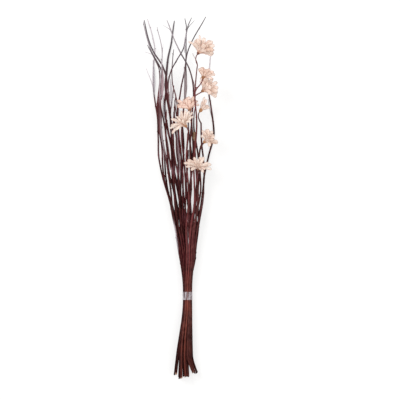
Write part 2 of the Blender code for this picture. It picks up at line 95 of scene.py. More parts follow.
# Stems. Thirty thin woody twigs, cut to length with shears and gathered in the hand. They lie
# in seven rows, packed like honeycomb where they are tied, and the rows spread apart above the
# tie, so that twigs of different rows cross. Bark covers them, with rings, buds and pores.
LENGTH = 1000.0
TIE_WIDTH = 22.0
TIE_WALL = 0.8
CLEARANCE = 0.3
TIE_BOTTOM = TIE_MIDDLE - TIE_WIDTH / 2
TIE_TOP = TIE_MIDDLE + TIE_WIDTH / 2
CUT_RADIUS = 2.7
TIE_RADIUS = 2.05
MIDDLE_RADIUS = 2.4
MIDDLE_FROM = TIE_TOP + 200.0
MIDDLE_TO = 680.0
TIP_RADIUS = 1.2
BLUNTEST_TIP = 1.8
FINE_TIP_FROM = 760.0
BRANCH_RADIUS = 1.6
SHOOT_RADIUS = 1.0
SWAY = 3.6
SLOT_PITCH = 4.4
ROW_PITCH = 3.85
ROW_PITCH_AT_TOP = 17.0
ROW_PITCH_AT_CUTS = 7.2
LOWEST_ROW = TIE_WALL + CLEARANCE + TIE_RADIUS
KNEE_HEIGHT = 66.0
KNEE_SHIFT = -8.2
KNEE_SPREAD = 1.9
CUT_PLACES = {
    3: (-16.5, -5.0, 15.0),
    4: (-22.0, -10.5, 0.5, 15.5),
    5: (-31.5, -18.0, -4.5, 2.3, 20.0),
    6: (-35.5, -23.3, -10.0, 2.2, 15.5, 26.0),
}
CUT_BUNCHES = ((-27.0, 10.0), (-13.0, 1.5), (9.0, 6.0), (40.0, 15.0))
NECK = 26.0
STEM_SIDES = 12
STEM_STEP = 6.0
RING_STEPS = (-2.6, -1.2, 0.0, 1.2, 2.6)
BLEACHED = {
    "twig_low_left": ((345.0, 0.0), (360.0, 0.8), (425.0, 0.8), (445.0, 0.0), (790.0, 0.0), (812.0, 1.0)),
    "twig_low_right": ((790.0, 0.0), (850.0, 0.85)),
    "twig_third_left": ((345.0, 0.0), (362.0, 0.75), (420.0, 0.75), (440.0, 0.0)),
    "twig_fourth_left": ((740.0, 0.0), (780.0, 0.6)),
    "twig_second_left": ((880.0, 0.0), (910.0, 0.5)),
    "twig_third_crossing": ((885.0, 0.0), (905.0, 0.5)),
    "twig_second_right": ((640.0, 0.0), (700.0, 0.4)),
    "twig_fifth_left": ((600.0, 0.0), (640.0, 0.35), (700.0, 0.35), (740.0, 0.0)),
    "twig_third_inner": ((560.0, 0.0), (600.0, 0.35), (660.0, 0.35), (700.0, 0.0)),
}
UNBLEACHED = ((0.0, 0.0),)
# How warm the bark is of stems that stand out as lighter or darker than their neighbours.
TONES = {
    "flower_stem_top": 1.0,
    "flower_stem_star": 0.5,
    "flower_stem_middle": 0.35,
    "flower_stem_low": 0.1,
    "flower_stem_side": 0.1,
    "flower_stem_small": 0.0,
    "twig_fourth_right": 0.0,
    "twig_third_right": 0.05,
    "twig_low_right": 0.05,
}


class Stem(NamedTuple):
    """One woody stem. Its route runs from above the tie to its tip, as (across, along).

    Girth is its share of the usual thickness, and stout is how far along it keeps that.
    """

    name: str
    route: tuple
    girth: float = 1.0
    stout: float = MIDDLE_TO
    bloom: str = ""
    shoots: tuple = ()
    branches: tuple = ()


class Shoot(NamedTuple):
    """A side twig: how far along the stem it leaves, and where its tip is."""

    leaves: float
    tip: tuple
    radius: float = SHOOT_RADIUS
    rise: float = 0.0


class Branch(NamedTuple):
    """A side branch that carries a bloom."""

    leaves: float
    bloom: str


class Bloom(NamedTuple):
    """A dried bloom: where its base is, which way it opens, and its petals."""

    base: tuple
    heading: float
    tilt: float
    petals: int
    length: float
    inner: float
    outer: float
    lowest: float
    highest: float = 1000.0


BLOOMS = {
    "bloom_top": Bloom((27, 890, 99), 53, 8, 16, 46, 18, 85, 82),
    "bloom_right": Bloom((38, 788, 82), 38, 8, 15, 44, 22, 88, 66, 101),
    "bloom_upper_right": Bloom((42, 822, 114), 76, 12, 12, 32, 12, 58, 108),
    "bloom_middle": Bloom((8, 735, 69), 108, 10, 13, 43, 18, 80, 62, 76.5),
    "bloom_star": Bloom((-2, 691, 96), 128, 24, 15, 47, 23, 91, 89, 118),
    "bloom_side": Bloom((44, 649, 64), 42, 32, 14, 40, 22, 76, 56),
    "bloom_low": Bloom((29, 574, 80), 84, 44, 15, 40, 24, 88, 72),
    "bloom_small": Bloom((33, 734, 54), 55, 10, 8, 29, 12, 40, 47),
}
ROWS = (
    (
        Stem(
            "twig_low_left",
            ((-22, 365), (-44, 459), (-65, 534), (-78, 630), (-88, 734), (-92, 822), (-94, 905), (-109, 993)),
            girth=0.9,
            shoots=(Shoot(792, (-114, 855)), Shoot(886, (-116, 901))),
        ),
        Stem(
            "twig_low_middle",
            ((-8, 355), (-24, 492), (-42, 630), (-53, 754), (-57, 822), (-56, 883), (-48, 927), (-34, 987)),
            girth=1.3,
            stout=830,
        ),
        Stem(
            "twig_low_right",
            ((21, 333), (34, 451), (44, 534), (60, 610), (69, 671), (65, 754), (59, 828), (60, 891)),
            girth=1.05,
            shoots=(Shoot(655, (57, 770), 0.9),),
        ),
    ),
    (
        Stem(
            "twig_second_left",
            ((-24, 368), (-40, 465), (-62, 580), (-74, 690), (-77, 767), (-74, 836), (-98, 905), (-122, 984)),
            stout=780,
        ),
        Stem(
            "twig_second_inner",
            ((-14.5, 368), (-26, 465), (-37, 575), (-44, 685), (-43, 754), (-41, 808)),
            shoots=(Shoot(700, (-50, 790)),),
        ),
        Stem(
            "twig_second_crossing",
            (
                (-8, 382), (-16, 520), (-23, 657), (-25, 740), (-21, 800),
                (-8, 855), (1, 891), (21, 943), (47, 997),
            ),
            girth=1.05,
        ),
        Stem(
            "twig_second_right",
            ((7, 424), (8, 575), (6, 685), (3, 767)),
            shoots=(Shoot(640, (12, 728)),),
        ),
    ),
    (
        Stem(
            "twig_third_left",
            ((-25, 362), (-52, 506), (-70, 602), (-79, 698), (-80, 781), (-80, 844), (-94, 888), (-107, 919)),
        ),
        Stem(
            "twig_third_leaning",
            (
                (-15, 368), (-29, 470), (-43, 588), (-53, 685), (-61, 767),
                (-61, 822), (-70, 862), (-92, 902), (-121, 987),
            ),
            girth=1.2,
            stout=780,
        ),
        Stem(
            "twig_third_inner",
            ((-7, 355), (-17, 465), (-28, 602), (-32, 698), (-34, 781)),
            shoots=(Shoot(655, (-23, 742)),),
        ),
        Stem(
            "twig_third_crossing",
            (
                (7, 355), (9, 465), (11, 588), (15, 685), (15, 767),
                (11, 817), (3, 858), (-19, 905), (-37, 938), (-60, 987),
            ),
            girth=1.1,
            shoots=(Shoot(955, (-67, 974), 0.7),),
        ),
        Stem("twig_third_right", ((18, 368), (24, 465), (28, 551), (25, 630), (21, 698), (21, 748))),
    ),
    (
        Stem(
            "twig_fourth_left",
            ((-21, 355), (-37, 506), (-52, 602), (-65, 685), (-73, 760), (-71, 836), (-72, 883), (-84, 968)),
            girth=0.9,
            shoots=(Shoot(866, (-67, 919), 0.8),),
        ),
        Stem(
            "twig_fourth_leaning",
            (
                (-13, 368), (-24, 492), (-36, 602), (-45, 685), (-50, 754), (-50, 808),
                (-45, 847), (-32, 877), (-14, 910), (1, 968), (14, 993),
            ),
            shoots=(Shoot(955, (18, 985), 0.9),),
        ),
        Stem(
            "twig_fourth_inner",
            ((-7.5, 368), (-15, 478), (-23, 588), (-29, 685), (-32, 767)),
        ),
        Stem("twig_fourth_middle", ((-0.5, 368), (-7, 465), (-11, 561), (-14, 644), (-16, 718))),
        Stem("twig_fourth_short", ((5, 368), (3, 465), (0, 547), (-1, 630))),
        Stem("twig_fourth_right", ((22, 355), (29, 451), (33, 520), (36, 588))),
    ),
    (
        Stem("twig_fifth_left", ((-23, 382), (-43, 492), (-59, 588), (-69, 685), (-72, 781))),
        Stem(
            "twig_fifth_wavy",
            (
                (-7, 368), (-14, 506), (-19, 616), (-22, 698), (-28, 754),
                (-34, 781), (-45, 817), (-47, 844), (-43, 877), (-38, 905),
            ),
            girth=0.9,
        ),
        Stem(
            "twig_fifth_tall",
            (
                (-1, 355), (-6, 465), (-10, 575), (-12, 671), (-9, 754),
                (-7, 800), (-7, 850), (-4, 899), (1, 965), (-4, 990),
            ),
        ),
        Stem(
            "bud_stem",
            ((11, 355), (16, 424), (22, 520), (22, 602), (23, 655)),
            bloom="bud",
        ),
        Stem(
            "flower_stem_small",
            (
                (21, 355), (32, 451), (38, 514), (44, 558), (45, 602), (43, 641),
                (41, 679), (38, 712), (33, 734),
            ),
            bloom="bloom_small",
        ),
    ),
    (
        Stem("twig_sixth_left", ((-18, 382), (-32, 478), (-45, 575), (-55, 657), (-60, 740))),
        Stem("twig_sixth_inner", ((-10, 368), (-18, 451), (-29, 561), (-37, 657), (-41, 734)), girth=0.9),
        Stem(
            "flower_stem_middle",
            ((6, 355), (6, 478), (8, 575), (11, 644), (11, 698), (8, 733)),
            bloom="bloom_middle",
        ),
        Stem(
            "flower_stem_side",
            ((15, 355), (28, 465), (33, 534), (34, 588), (37, 624), (44, 649)),
            bloom="bloom_side",
        ),
    ),
    (
        Stem("flower_stem_star", ((-1, 382), (0, 520), (1, 602), (0, 657), (-2, 693)), bloom="bloom_star"),
        Stem(
            "flower_stem_top",
            ((6, 355), (16, 492), (21, 602), (22, 698), (23, 767), (25, 808), (26, 864), (30, 897)),
            bloom="bloom_top",
            shoots=(
                Shoot(788, (17, 819), 1.1, 3),
                Shoot(795, (32, 803), 1.4, 5),
                Shoot(858, (14, 893), 0.7, -6),
            ),
            branches=(Branch(772, "bloom_right"), Branch(779, "bloom_upper_right")),
        ),
        Stem("flower_stem_low", ((13, 355), (24, 478), (28, 534), (29, 571)), bloom="bloom_low"),
    ),
)


def slopes_through(places, values):
    """Slopes of a smooth curve through the points that never swings past one."""
    steps = np.diff(values) / np.diff(places)
    slopes = np.concatenate([[steps[0]], np.zeros(len(steps) - 1), [steps[-1]]])
    for i in range(1, len(steps)):
        if steps[i - 1] * steps[i] > 0:
            slopes[i] = 2 * steps[i - 1] * steps[i] / (steps[i - 1] + steps[i])
    return slopes


def smooth_value(place, places, values, slopes):
    """The height of that curve at one place."""
    i = int(np.clip(np.searchsorted(places, place) - 1, 0, len(places) - 2))
    width = places[i + 1] - places[i]
    t = (place - places[i]) / width
    rising = t * t * (3 - 2 * t)
    start = t * (1 - t) ** 2 * width * slopes[i]
    end = t * t * (t - 1) * width * slopes[i + 1]
    return values[i] * (1 - rising) + values[i + 1] * rising + start + end


def row_pitch(along):
    """How far apart two neighbouring rows are in height."""
    if along > TIE_TOP:
        share = (along - TIE_TOP) / (LENGTH - TIE_TOP)
        return ROW_PITCH + (ROW_PITCH_AT_TOP - ROW_PITCH) * share**0.9
    share = max(TIE_BOTTOM - along, 0.0) / TIE_BOTTOM
    return ROW_PITCH + (ROW_PITCH_AT_CUTS - ROW_PITCH) * share**0.8


def row_height(row, along):
    return LOWEST_ROW + row * row_pitch(along)


def stem_radius(stem, along, tip):
    """Stems swell to their cuts, stay even through the middle and thin out to the tip."""
    places = (0.0, TIE_BOTTOM, TIE_TOP + 50, MIDDLE_FROM, stem.stout, max(tip, stem.stout + 1))
    end = min(TIP_RADIUS + 0.0035 * max(0.0, FINE_TIP_FROM - tip), BLUNTEST_TIP)
    radii = (CUT_RADIUS, TIE_RADIUS, TIE_RADIUS, MIDDLE_RADIUS, MIDDLE_RADIUS, end)
    thickness = float(np.interp(along, places, radii))
    own = float(np.clip((along - TIE_TOP) / (MIDDLE_FROM - TIE_TOP), 0.0, 1.0))
    return thickness * (1 + (stem.girth - 1) * own)


def cut_place(row, slot):
    """Across and along of a stem's cut end, in one of the four bunches."""
    across = CUT_PLACES[len(ROWS[row])][slot]
    height = next(height for right, height in CUT_BUNCHES if across < right)
    return across, height + (row * 37 + slot * 53) % 5 - 2


def slot_place(row, slot):
    return (slot - (len(ROWS[row]) - 1) / 2) * SLOT_PITCH


def stem_curve(row, slot):
    """The stem's middle line as a function that gives its point for any place along it."""
    stem = ROWS[row][slot]
    place = slot_place(row, slot)
    across, cut = cut_place(row, slot)
    knee = KNEE_SHIFT + KNEE_SPREAD * place
    points = [(across, cut), (knee, KNEE_HEIGHT), (place, TIE_BOTTOM), (place, TIE_TOP), *stem.route]
    places = np.array([along for _, along in points], float)
    values = np.array([x for x, _ in points], float)
    slopes = slopes_through(places, values)
    draw = random.Random(row)
    phase, bend = draw.uniform(0, 6.28) + 0.3 * slot, draw.uniform(0.021, 0.033)
    sway = random.Random(f"{row} {slot}").uniform(0, 6.28)

    def point(along):
        x = smooth_value(along, places, values, slopes)
        above = max(0.0, along - TIE_TOP)
        room = max(0.0, row_pitch(along) - ROW_PITCH - 1.2)
        loose = min(1.0, above / 240.0)
        x += SWAY * loose * math.sin(bend * along + phase)
        z = row_height(row, along) + loose * 0.26 * room * math.sin(bend * 0.5 * along + sway)
        if row == 0:
            z = LOWEST_ROW - loose * (LOWEST_ROW - stem_radius(stem, along, places[-1]) - 0.1)
        return Vector((x, along, z))

    return point, cut, float(places[-1])


def neck_points(points, base, axis, steps):
    """Ends a line of points by bending it up into the base of what it carries."""
    kept = [p for p in points if (p - base).length > NECK]
    start, corner, end = kept[-1], base - axis * NECK * 0.55, base - axis * CLEARANCE
    for i in range(1, steps + 1):
        t = i / steps
        kept.append(start * (1 - t) ** 2 + corner * 2 * t * (1 - t) + end * t * t)
    return kept


def bloom_axis(bloom):
    heading, tilt = math.radians(bloom.heading), math.radians(bloom.tilt)
    return Vector((math.cos(heading) * math.cos(tilt), math.sin(heading) * math.cos(tilt), math.sin(tilt)))


def bend_rod(start, heading, end, arrival, count):
    """Points of an arc that leaves along one direction and arrives along another."""
    reach = (end - start).length
    first, second = start + heading * reach * 0.4, end - arrival * reach * 0.35
    points = []
    for i in range(count + 1):
        t = i / count
        points.append(
            start * (1 - t) ** 3 + first * 3 * t * (1 - t) ** 2 + second * 3 * t * t * (1 - t) + end * t**3
        )
    return points


class Growth:
    """A mesh in the making, with the surface's own measures that the materials read."""

    def __init__(self):
        self.shape = bmesh.new()
        self.measure = self.shape.loops.layers.uv.new("measure")
        self.tone = self.shape.verts.layers.float.new("tone")
        self.reach = self.shape.verts.layers.float.new("reach")
        self.edge = self.shape.verts.layers.float.new("edge")

    def point(self, place, tone=0.5, reach=0.0, edge=0.0):
        """A corner of the mesh, kept inside the box of the CAD model."""
        spot = placed(*place)
        vertex = self.shape.verts.new(np.clip(spot, *cad_box))
        vertex[self.tone] = tone
        vertex[self.reach] = reach
        vertex[self.edge] = edge
        return vertex

    def face(self, corners, measures, finish=0, smooth=True):
        face = self.shape.faces.new(corners)
        face.smooth = smooth
        face.material_index = finish
        for loop, measure in zip(face.loops, measures, strict=True):
            loop[self.measure].uv = measure

    def as_piece(self, name, materials, node):
        """Ends the growth: the piece rides on the bouquet, in the place of its CAD node if any."""
        mesh = bpy.data.meshes.new(name)
        self.shape.to_mesh(mesh)
        self.shape.free()
        for material in materials:
            mesh.materials.append(material)
        piece = bpy.data.objects.new(name, mesh)
        bpy.context.scene.collection.objects.link(piece)
        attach(piece, "root")
        if node:
            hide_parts(node)
        return piece


def grow_rod(
    growth, line, radii, tone, draw, sides=STEM_SIDES, ribs=0.05, swell=None, slant=None, finish=0, bleach=0.0,
    closed=True,
):
    """A barked rod along a line. swell gives extra girth by station and side, slant cuts its foot."""
    line = np.array([tuple(p) for p in line])
    radii = np.asarray(radii, float)
    forward = np.gradient(line, axis=0)
    forward /= np.linalg.norm(forward, axis=1)[:, None]
    sideways = np.cross(forward, (0.0, 0.0, 1.0))
    sideways /= np.linalg.norm(sideways, axis=1)[:, None]
    upward = np.cross(sideways, forward)
    travelled = np.concatenate([[0.0], np.cumsum(np.linalg.norm(np.diff(line, axis=0), axis=1))])
    turns = np.arange(sides) * 2 * math.pi / sides
    twist = draw.uniform(-0.004, 0.004)
    first, second = draw.uniform(0, 6.28), draw.uniform(0, 6.28)
    bark = 1 + ribs * np.sin(3 * turns + twist * 8 * travelled[:, None] + first)
    bark += ribs * 0.6 * np.sin(5 * turns - twist * 12 * travelled[:, None] + second)
    if swell is not None:
        bark = bark + swell
    spread = radii[:, None] * bark
    rings = line[:, None] + spread[..., None] * (
        sideways[:, None] * np.cos(turns)[None, :, None] + upward[:, None] * np.sin(turns)[None, :, None]
    )
    if slant is not None:
        steepness, turned = slant
        fade = np.clip(1 - travelled / 14.0, 0, 1) ** 2
        drop = steepness * radii[0] * (1 + np.cos(turns - turned))
        rings[..., 1] += fade[:, None] * drop[None, :]
    bleaches = np.broadcast_to(np.asarray(bleach, float), (len(line),))
    made = []
    for i, ring in enumerate(rings):
        reach = float(line[i, 1] / LENGTH)
        made.append([growth.point(p, tone, reach, float(bleaches[i])) for p in ring])
    girth = 2 * math.pi * float(radii.mean())
    for i in range(len(made) - 1):
        for j in range(sides):
            k = (j + 1) % sides
            left, right = girth * j / sides, girth * (j + 1) / sides
            low, high = travelled[i], travelled[i + 1]
            growth.face(
                (made[i][k], made[i][j], made[i + 1][j], made[i + 1][k]),
                ((right, low), (left, low), (left, high), (right, high)),
                finish,
            )
    if closed:
        growth.face(made[0], [(0, 0)] * sides, finish, smooth=False)
    return made, rings


def close_tip(growth, ring, tip, tone, reach, finish=0):
    """Closes the end of a rod in a point."""
    top = growth.point(tip, tone, reach)
    for j, corner in enumerate(ring):
        growth.face((ring[(j + 1) % len(ring)], corner, top), ((j + 1, 0), (j, 0), (j + 0.5, 1)), finish)


def close_cut(growth, ring, places, tone, wood):
    """Closes a sheared end: a rim of bark, then wood down to the soft core."""
    middle = places.mean(axis=0)
    outer = ring
    for share, depth in ((0.82, 0.15), (0.45, 0.25), (0.16, 0.75)):
        inner = []
        for p in places:
            inward = middle + (p - middle) * share
            inner.append(growth.point(inward + np.array((0.0, depth, 0.0)), tone, share))
        for j in range(len(outer)):
            k = (j + 1) % len(outer)
            growth.face((outer[j], outer[k], inner[k], inner[j]), ((j, 0), (k, 0), (k, 1), (j, 1)), wood)
        outer = inner
    growth.face(outer, [(0, 0)] * len(outer), wood)


def rings_along(draw, start, end):
    """Places of the scars that old leaves and bud scales left round a twig."""
    places = []
    at = start + draw.uniform(8, 40)
    while at < end - 8:
        places.append(at)
        at += draw.uniform(26, 62)
    return places


def grow_bud(growth, foot, direction, size, tone, draw):
    """A small pointed bud, pressed to the twig."""
    line = [foot + direction * size * t for t in (0.0, 0.3, 0.65, 0.9)]
    radii = [size * w for w in (0.16, 0.24, 0.19, 0.07)]
    made, _ = grow_rod(growth, line, radii, tone, draw, sides=6, ribs=0.02)
    close_tip(growth, made[-1], foot + direction * size, tone, 1.0)


def grow_stem(growth, row, slot, draw):
    """One twig from its sheared foot to its tip, with rings, buds and side shoots."""
    stem = ROWS[row][slot]
    point, cut, tip = stem_curve(row, slot)
    scars = rings_along(draw, TIE_TOP + 40, tip)
    places = set(np.arange(cut, tip, STEM_STEP).tolist()) | {tip}
    for scar in scars:
        places |= {scar + step for step in RING_STEPS}
    places = sorted(place for place in places if cut <= place <= tip)
    wander = 0.35 if stem.bloom else 0.6
    corners = [TIE_TOP + 10, *scars, tip]
    swings = [0.0] + [wander * (1 if i % 2 else -1) * draw.uniform(0.5, 1.0) for i in range(len(scars))] + [0.0]
    points = []
    for along in places:
        p = point(along)
        p.x += float(np.interp(along, corners, swings))
        points.append(p)
    if stem.bloom:
        base, axis = bud_seat() if stem.bloom == "bud" else (
            Vector(BLOOMS[stem.bloom].base),
            bloom_axis(BLOOMS[stem.bloom]),
        )
        points = neck_points(points, base, axis, 9)
    alongs = np.array([p.y for p in points])
    radii = np.array([stem_radius(stem, p.y, tip) for p in points])
    if not stem.bloom:
        radii *= np.interp(alongs, (tip - 14, tip), (1.0, 0.7))
    turns = np.arange(STEM_SIDES) * 2 * math.pi / STEM_SIDES
    swell = np.zeros((len(points), STEM_SIDES))
    for scar in scars:
        near = np.exp(-(((alongs - scar) / 1.5) ** 2))[:, None]
        facing = draw.uniform(0, 6.28)
        swell += near * (0.13 + 0.28 * np.exp(-((np.angle(np.exp(1j * (turns - facing))) / 0.7) ** 2)))
    swell += np.array([[draw.gauss(0, 0.018) for _ in turns] for _ in points])
    tone = TONES.get(stem.name, draw.uniform(0.15, 0.85))
    slant = (draw.uniform(0.5, 1.25), draw.uniform(0, 6.28))
    bleaching = tuple(zip(*BLEACHED.get(stem.name, UNBLEACHED), strict=True))
    bleach = np.interp(alongs, *bleaching)
    made, rings = grow_rod(
        growth, points, radii, tone, draw, swell=swell, slant=slant, bleach=bleach, closed=False
    )
    close_cut(growth, made[0], rings[0], tone, 1)
    end = points[-1]
    ahead = (points[-1] - points[-2]).normalized()
    close_tip(growth, made[-1], end + ahead * (0.2 if stem.bloom else 0.9), tone, end.y / LENGTH)
    for i, scar in enumerate(scars):
        if stem.bloom or draw.random() < 0.45:
            continue
        side = 1 if i % 2 else -1
        foot = point(scar) + Vector((side * stem_radius(stem, scar, tip) * 0.7, 0, 0))
        heading = Vector((side * draw.uniform(0.35, 0.8), 1.0, draw.uniform(-0.2, 0.5))).normalized()
        grow_bud(growth, foot, heading, draw.uniform(3.0, 5.0), tone * 0.8, draw)
    for shoot in stem.shoots:
        start = point(shoot.leaves)
        heading = (point(shoot.leaves + 5) - start).normalized()
        far = Vector((*shoot.tip, point(min(shoot.tip[1], tip)).z + shoot.rise))
        line = bend_rod(start, heading, far, (far - start).normalized(), 16)
        along = np.linspace(0, 1, len(line))
        sizes = shoot.radius * (1.25 - 0.35 * along) * np.interp(along, (0, 0.12, 1), (1.5, 1.0, 0.55))
        bleach = np.interp([p.y for p in line], *bleaching)
        made, _ = grow_rod(growth, line, sizes, tone, draw, sides=8, bleach=bleach)
        close_tip(growth, made[-1], line[-1] + (line[-1] - line[-2]).normalized() * 1.5, tone, far.y / LENGTH)
    for branch in stem.branches:
        bloom = BLOOMS[branch.bloom]
        start = point(branch.leaves)
        heading = (point(branch.leaves + 5) - start).normalized()
        axis = bloom_axis(bloom)
        line = bend_rod(start, heading, Vector(bloom.base) - axis * CLEARANCE, axis, 18)
        sizes = BRANCH_RADIUS * np.interp(np.linspace(0, 1, len(line)), (0, 0.15, 0.9, 1), (1.35, 1, 0.95, 1.15))
        made, _ = grow_rod(growth, line, sizes, tone, draw, sides=10)
        close_tip(growth, made[-1], line[-1] + axis * 0.2, tone, line[-1].y / LENGTH)


def bud_seat():
    """Base and direction of the long bud, in line with the end of its stem."""
    every = ((row, slot) for row, stems in enumerate(ROWS) for slot in range(len(stems)))
    row, slot = next((row, slot) for row, slot in every if ROWS[row][slot].bloom == "bud")
    point, _, tip = stem_curve(row, slot)
    return point(tip), (point(tip) - point(tip - 20)).normalized()


class Wiring:
    """Sets up the nodes of one material or group, in the order that they are read."""

    def __init__(self, tree):
        self.tree = tree

    def node(self, kind, settings=None, **inputs):
        node = self.tree.nodes.new(kind)
        for name, value in (settings or {}).items():
            setattr(node, name, value)
        for name, value in inputs.items():
            self.feed(node.inputs[name.replace("_", " ")], value)
        return node

    def feed(self, socket, value):
        if isinstance(value, bpy.types.NodeSocket):
            self.tree.links.new(value, socket)
        else:
            socket.default_value = value

    def math(self, operation, first, second=0.0, clamp=False):
        node = self.node("ShaderNodeMath", {"operation": operation, "use_clamp": clamp})
        self.feed(node.inputs[0], first)
        self.feed(node.inputs[1], second)
        return node.outputs[0]

    def mix(self, share, first, second, blend="MIX"):
        node = self.node("ShaderNodeMix", {"data_type": "RGBA", "blend_type": blend})
        self.feed(node.inputs[0], share)
        self.feed(node.inputs[6], (*first, 1.0) if isinstance(first, tuple) else first)
        self.feed(node.inputs[7], (*second, 1.0) if isinstance(second, tuple) else second)
        return node.outputs[2]

    def between(self, value, low, high, start=0.0, end=1.0):
        node = self.node("ShaderNodeMapRange", {"interpolation_type": "SMOOTHSTEP"})
        for socket, number in zip(node.inputs, (value, low, high, start, end), strict=False):
            self.feed(socket, number)
        return node.outputs[0]

    def attribute(self, name):
        return self.node("ShaderNodeAttribute", {"attribute_name": name}).outputs["Fac"]


def streak_group():
    """Long dry streaks, as in bark, husk and petals: noise drawn out along the fibre."""
    group = bpy.data.node_groups.new("dry streaks", "ShaderNodeTree")
    for name, value in (("Across", 1.0), ("Along", 0.1), ("Roughness", 0.6)):
        socket = group.interface.new_socket(name, in_out="INPUT", socket_type="NodeSocketFloat")
        socket.default_value = value
    group.interface.new_socket("Streaks", in_out="OUTPUT", socket_type="NodeSocketFloat")
    group.interface.new_socket("Blotches", in_out="OUTPUT", socket_type="NodeSocketFloat")
    wiring = Wiring(group)
    given = wiring.node("NodeGroupInput")
    made = wiring.node("NodeGroupOutput")
    measure = wiring.node("ShaderNodeUVMap", {"uv_map": "measure"}).outputs[0]
    size = wiring.node("ShaderNodeCombineXYZ", X=given.outputs["Across"], Y=given.outputs["Along"], Z=0.0)
    drawn = wiring.node("ShaderNodeVectorMath", {"operation": "MULTIPLY"})
    wiring.feed(drawn.inputs[0], measure)
    wiring.feed(drawn.inputs[1], size.outputs[0])
    place = wiring.node("ShaderNodeTexCoord").outputs["Object"]
    mixed = wiring.node("ShaderNodeVectorMath", {"operation": "MULTIPLY_ADD"})
    wiring.feed(mixed.inputs[0], place)
    wiring.feed(mixed.inputs[1], (6.0, 1.0, 6.0))
    wiring.feed(mixed.inputs[2], drawn.outputs[0])
    fine = wiring.node("ShaderNodeTexNoise", Vector=mixed.outputs[0], Scale=1.0, Detail=4.0)
    wiring.feed(fine.inputs["Roughness"], given.outputs["Roughness"])
    patches = wiring.node("ShaderNodeTexNoise", Vector=place, Scale=22.0, Detail=3.0)
    wiring.feed(made.inputs["Streaks"], fine.outputs[0])
    wiring.feed(made.inputs["Blotches"], patches.outputs[0])
    return group


streaks = streak_group()


def finish_named(name, roughness):
    """A new material, its wiring and its shader."""
    material = bpy.data.materials.new(name)
    material.use_nodes = True
    shader = material.node_tree.nodes["Principled BSDF"]
    shader.inputs["Roughness"].default_value = roughness
    return material, Wiring(material.node_tree), shader


def bark_finish(name, dark, foot, warm, pale, tip):
    """Thin dry bark: browner at the foot, with lighter fibres and pores, grey at the tips, and painted shade darkening
    it near the cut ends.
    """
    material, wiring, shader = finish_named(name, 0.6)
    shader.inputs["Specular IOR Level"].default_value = 0.03
    grain = wiring.node("ShaderNodeGroup", {"node_tree": streaks}, Across=1.6, Along=0.09, Roughness=0.65)
    fibres = wiring.between(grain.outputs["Streaks"], 0.42, 0.68)
    patches = wiring.between(grain.outputs["Blotches"], 0.35, 0.65)
    tone = wiring.attribute("tone")
    warmth = wiring.math("MULTIPLY_ADD", patches, 0.5, clamp=True)
    warmth.node.inputs[2].default_value = -0.1
    warmth = wiring.math("ADD", warmth, wiring.math("MULTIPLY", tone, 0.55), clamp=True)
    along = wiring.attribute("reach")
    colour = wiring.mix(warmth, dark, wiring.mix(wiring.between(along, 0.22, 0.34), foot, warm))
    colour = wiring.mix(wiring.math("MULTIPLY", fibres, 0.35), colour, pale)
    peeled = wiring.between(grain.outputs["Blotches"], 0.56, 0.66, 0.0, 0.4)
    peeled = wiring.math("MULTIPLY", peeled, wiring.between(along, 0.35, 0.55))
    colour = wiring.mix(peeled, colour, (0.24, 0.11, 0.13))
    # Painted shade: the bark darkens towards the cut ends, which lie in shadow.
    colour = wiring.mix(wiring.between(along, 0.16, 0.02, 0.0, 0.55), colour, dark)
    colour = wiring.mix(wiring.between(along, 0.69, 0.76, 0.0, 0.3), colour, (0.21, 0.065, 0.070))
    colour = wiring.mix(wiring.between(along, 0.76, 0.92, 0.0, 0.92), colour, tip)
    colour = wiring.mix(wiring.attribute("edge"), colour, (0.60, 0.53, 0.57))
    measure = wiring.node("ShaderNodeUVMap", {"uv_map": "measure"}).outputs[0]
    pores = wiring.node("ShaderNodeTexVoronoi", Vector=measure, Scale=0.42, Randomness=1.0)
    dots = wiring.between(pores.outputs["Distance"], 0.2, 0.1)
    colour = wiring.mix(wiring.math("MULTIPLY", dots, 0.25), colour, pale)
    wiring.feed(shader.inputs["Base Color"], colour)
    wiring.feed(shader.inputs["Roughness"], wiring.between(grain.outputs["Streaks"], 0.3, 0.7, 0.36, 0.62))
    height = wiring.math("ADD", wiring.math("MULTIPLY", fibres, 0.7), wiring.math("MULTIPLY", dots, 0.5))
    bump = wiring.node("ShaderNodeBump", Strength=0.55, Distance=0.0003, Height=height)
    wiring.feed(shader.inputs["Normal"], bump.outputs[0])
    return material


def cut_wood_finish():
    """A sheared end: fibrous wood, darker just under the bark."""
    material, wiring, shader = finish_named("sheared wood", 0.75)
    grain = wiring.node("ShaderNodeGroup", {"node_tree": streaks}, Across=2.0, Along=2.0, Roughness=0.6)
    share = wiring.attribute("reach")
    colour = wiring.mix(wiring.between(grain.outputs["Streaks"], 0.35, 0.7), (0.30, 0.13, 0.08), (0.46, 0.26, 0.17))
    colour = wiring.mix(wiring.between(share, 0.5, 0.85, 0.0, 0.8), colour, (0.10, 0.03, 0.025))
    wiring.feed(shader.inputs["Base Color"], colour)
    bump = wiring.node("ShaderNodeBump", Strength=0.5, Distance=0.0004, Height=grain.outputs["Streaks"])
    wiring.feed(shader.inputs["Normal"], bump.outputs[0])
    return material


twig_bark = bark_finish(
    "twig bark",
    dark=(0.009, 0.0015, 0.0015),
    foot=(0.080, 0.008, 0.006),
    warm=(0.080, 0.009, 0.014),
    pale=(0.27, 0.095, 0.080),
    tip=(0.105, 0.093, 0.103),
)
flower_bark = bark_finish(
    "flower stem bark",
    dark=(0.028, 0.006, 0.006),
    foot=(0.20, 0.045, 0.028),
    warm=(0.14, 0.026, 0.030),
    pale=(0.36, 0.15, 0.13),
    tip=(0.15, 0.055, 0.050),
)
sheared_wood = cut_wood_finish()

for row, stems in enumerate(ROWS):
    for slot, stem in enumerate(stems):
        growth = Growth()
        grow_stem(growth, row, slot, random.Random(stem.name))
        bark = flower_bark if stem.bloom else twig_bark
        growth.as_piece(stem.name + "_bark", (bark, sheared_wood), stem.name)

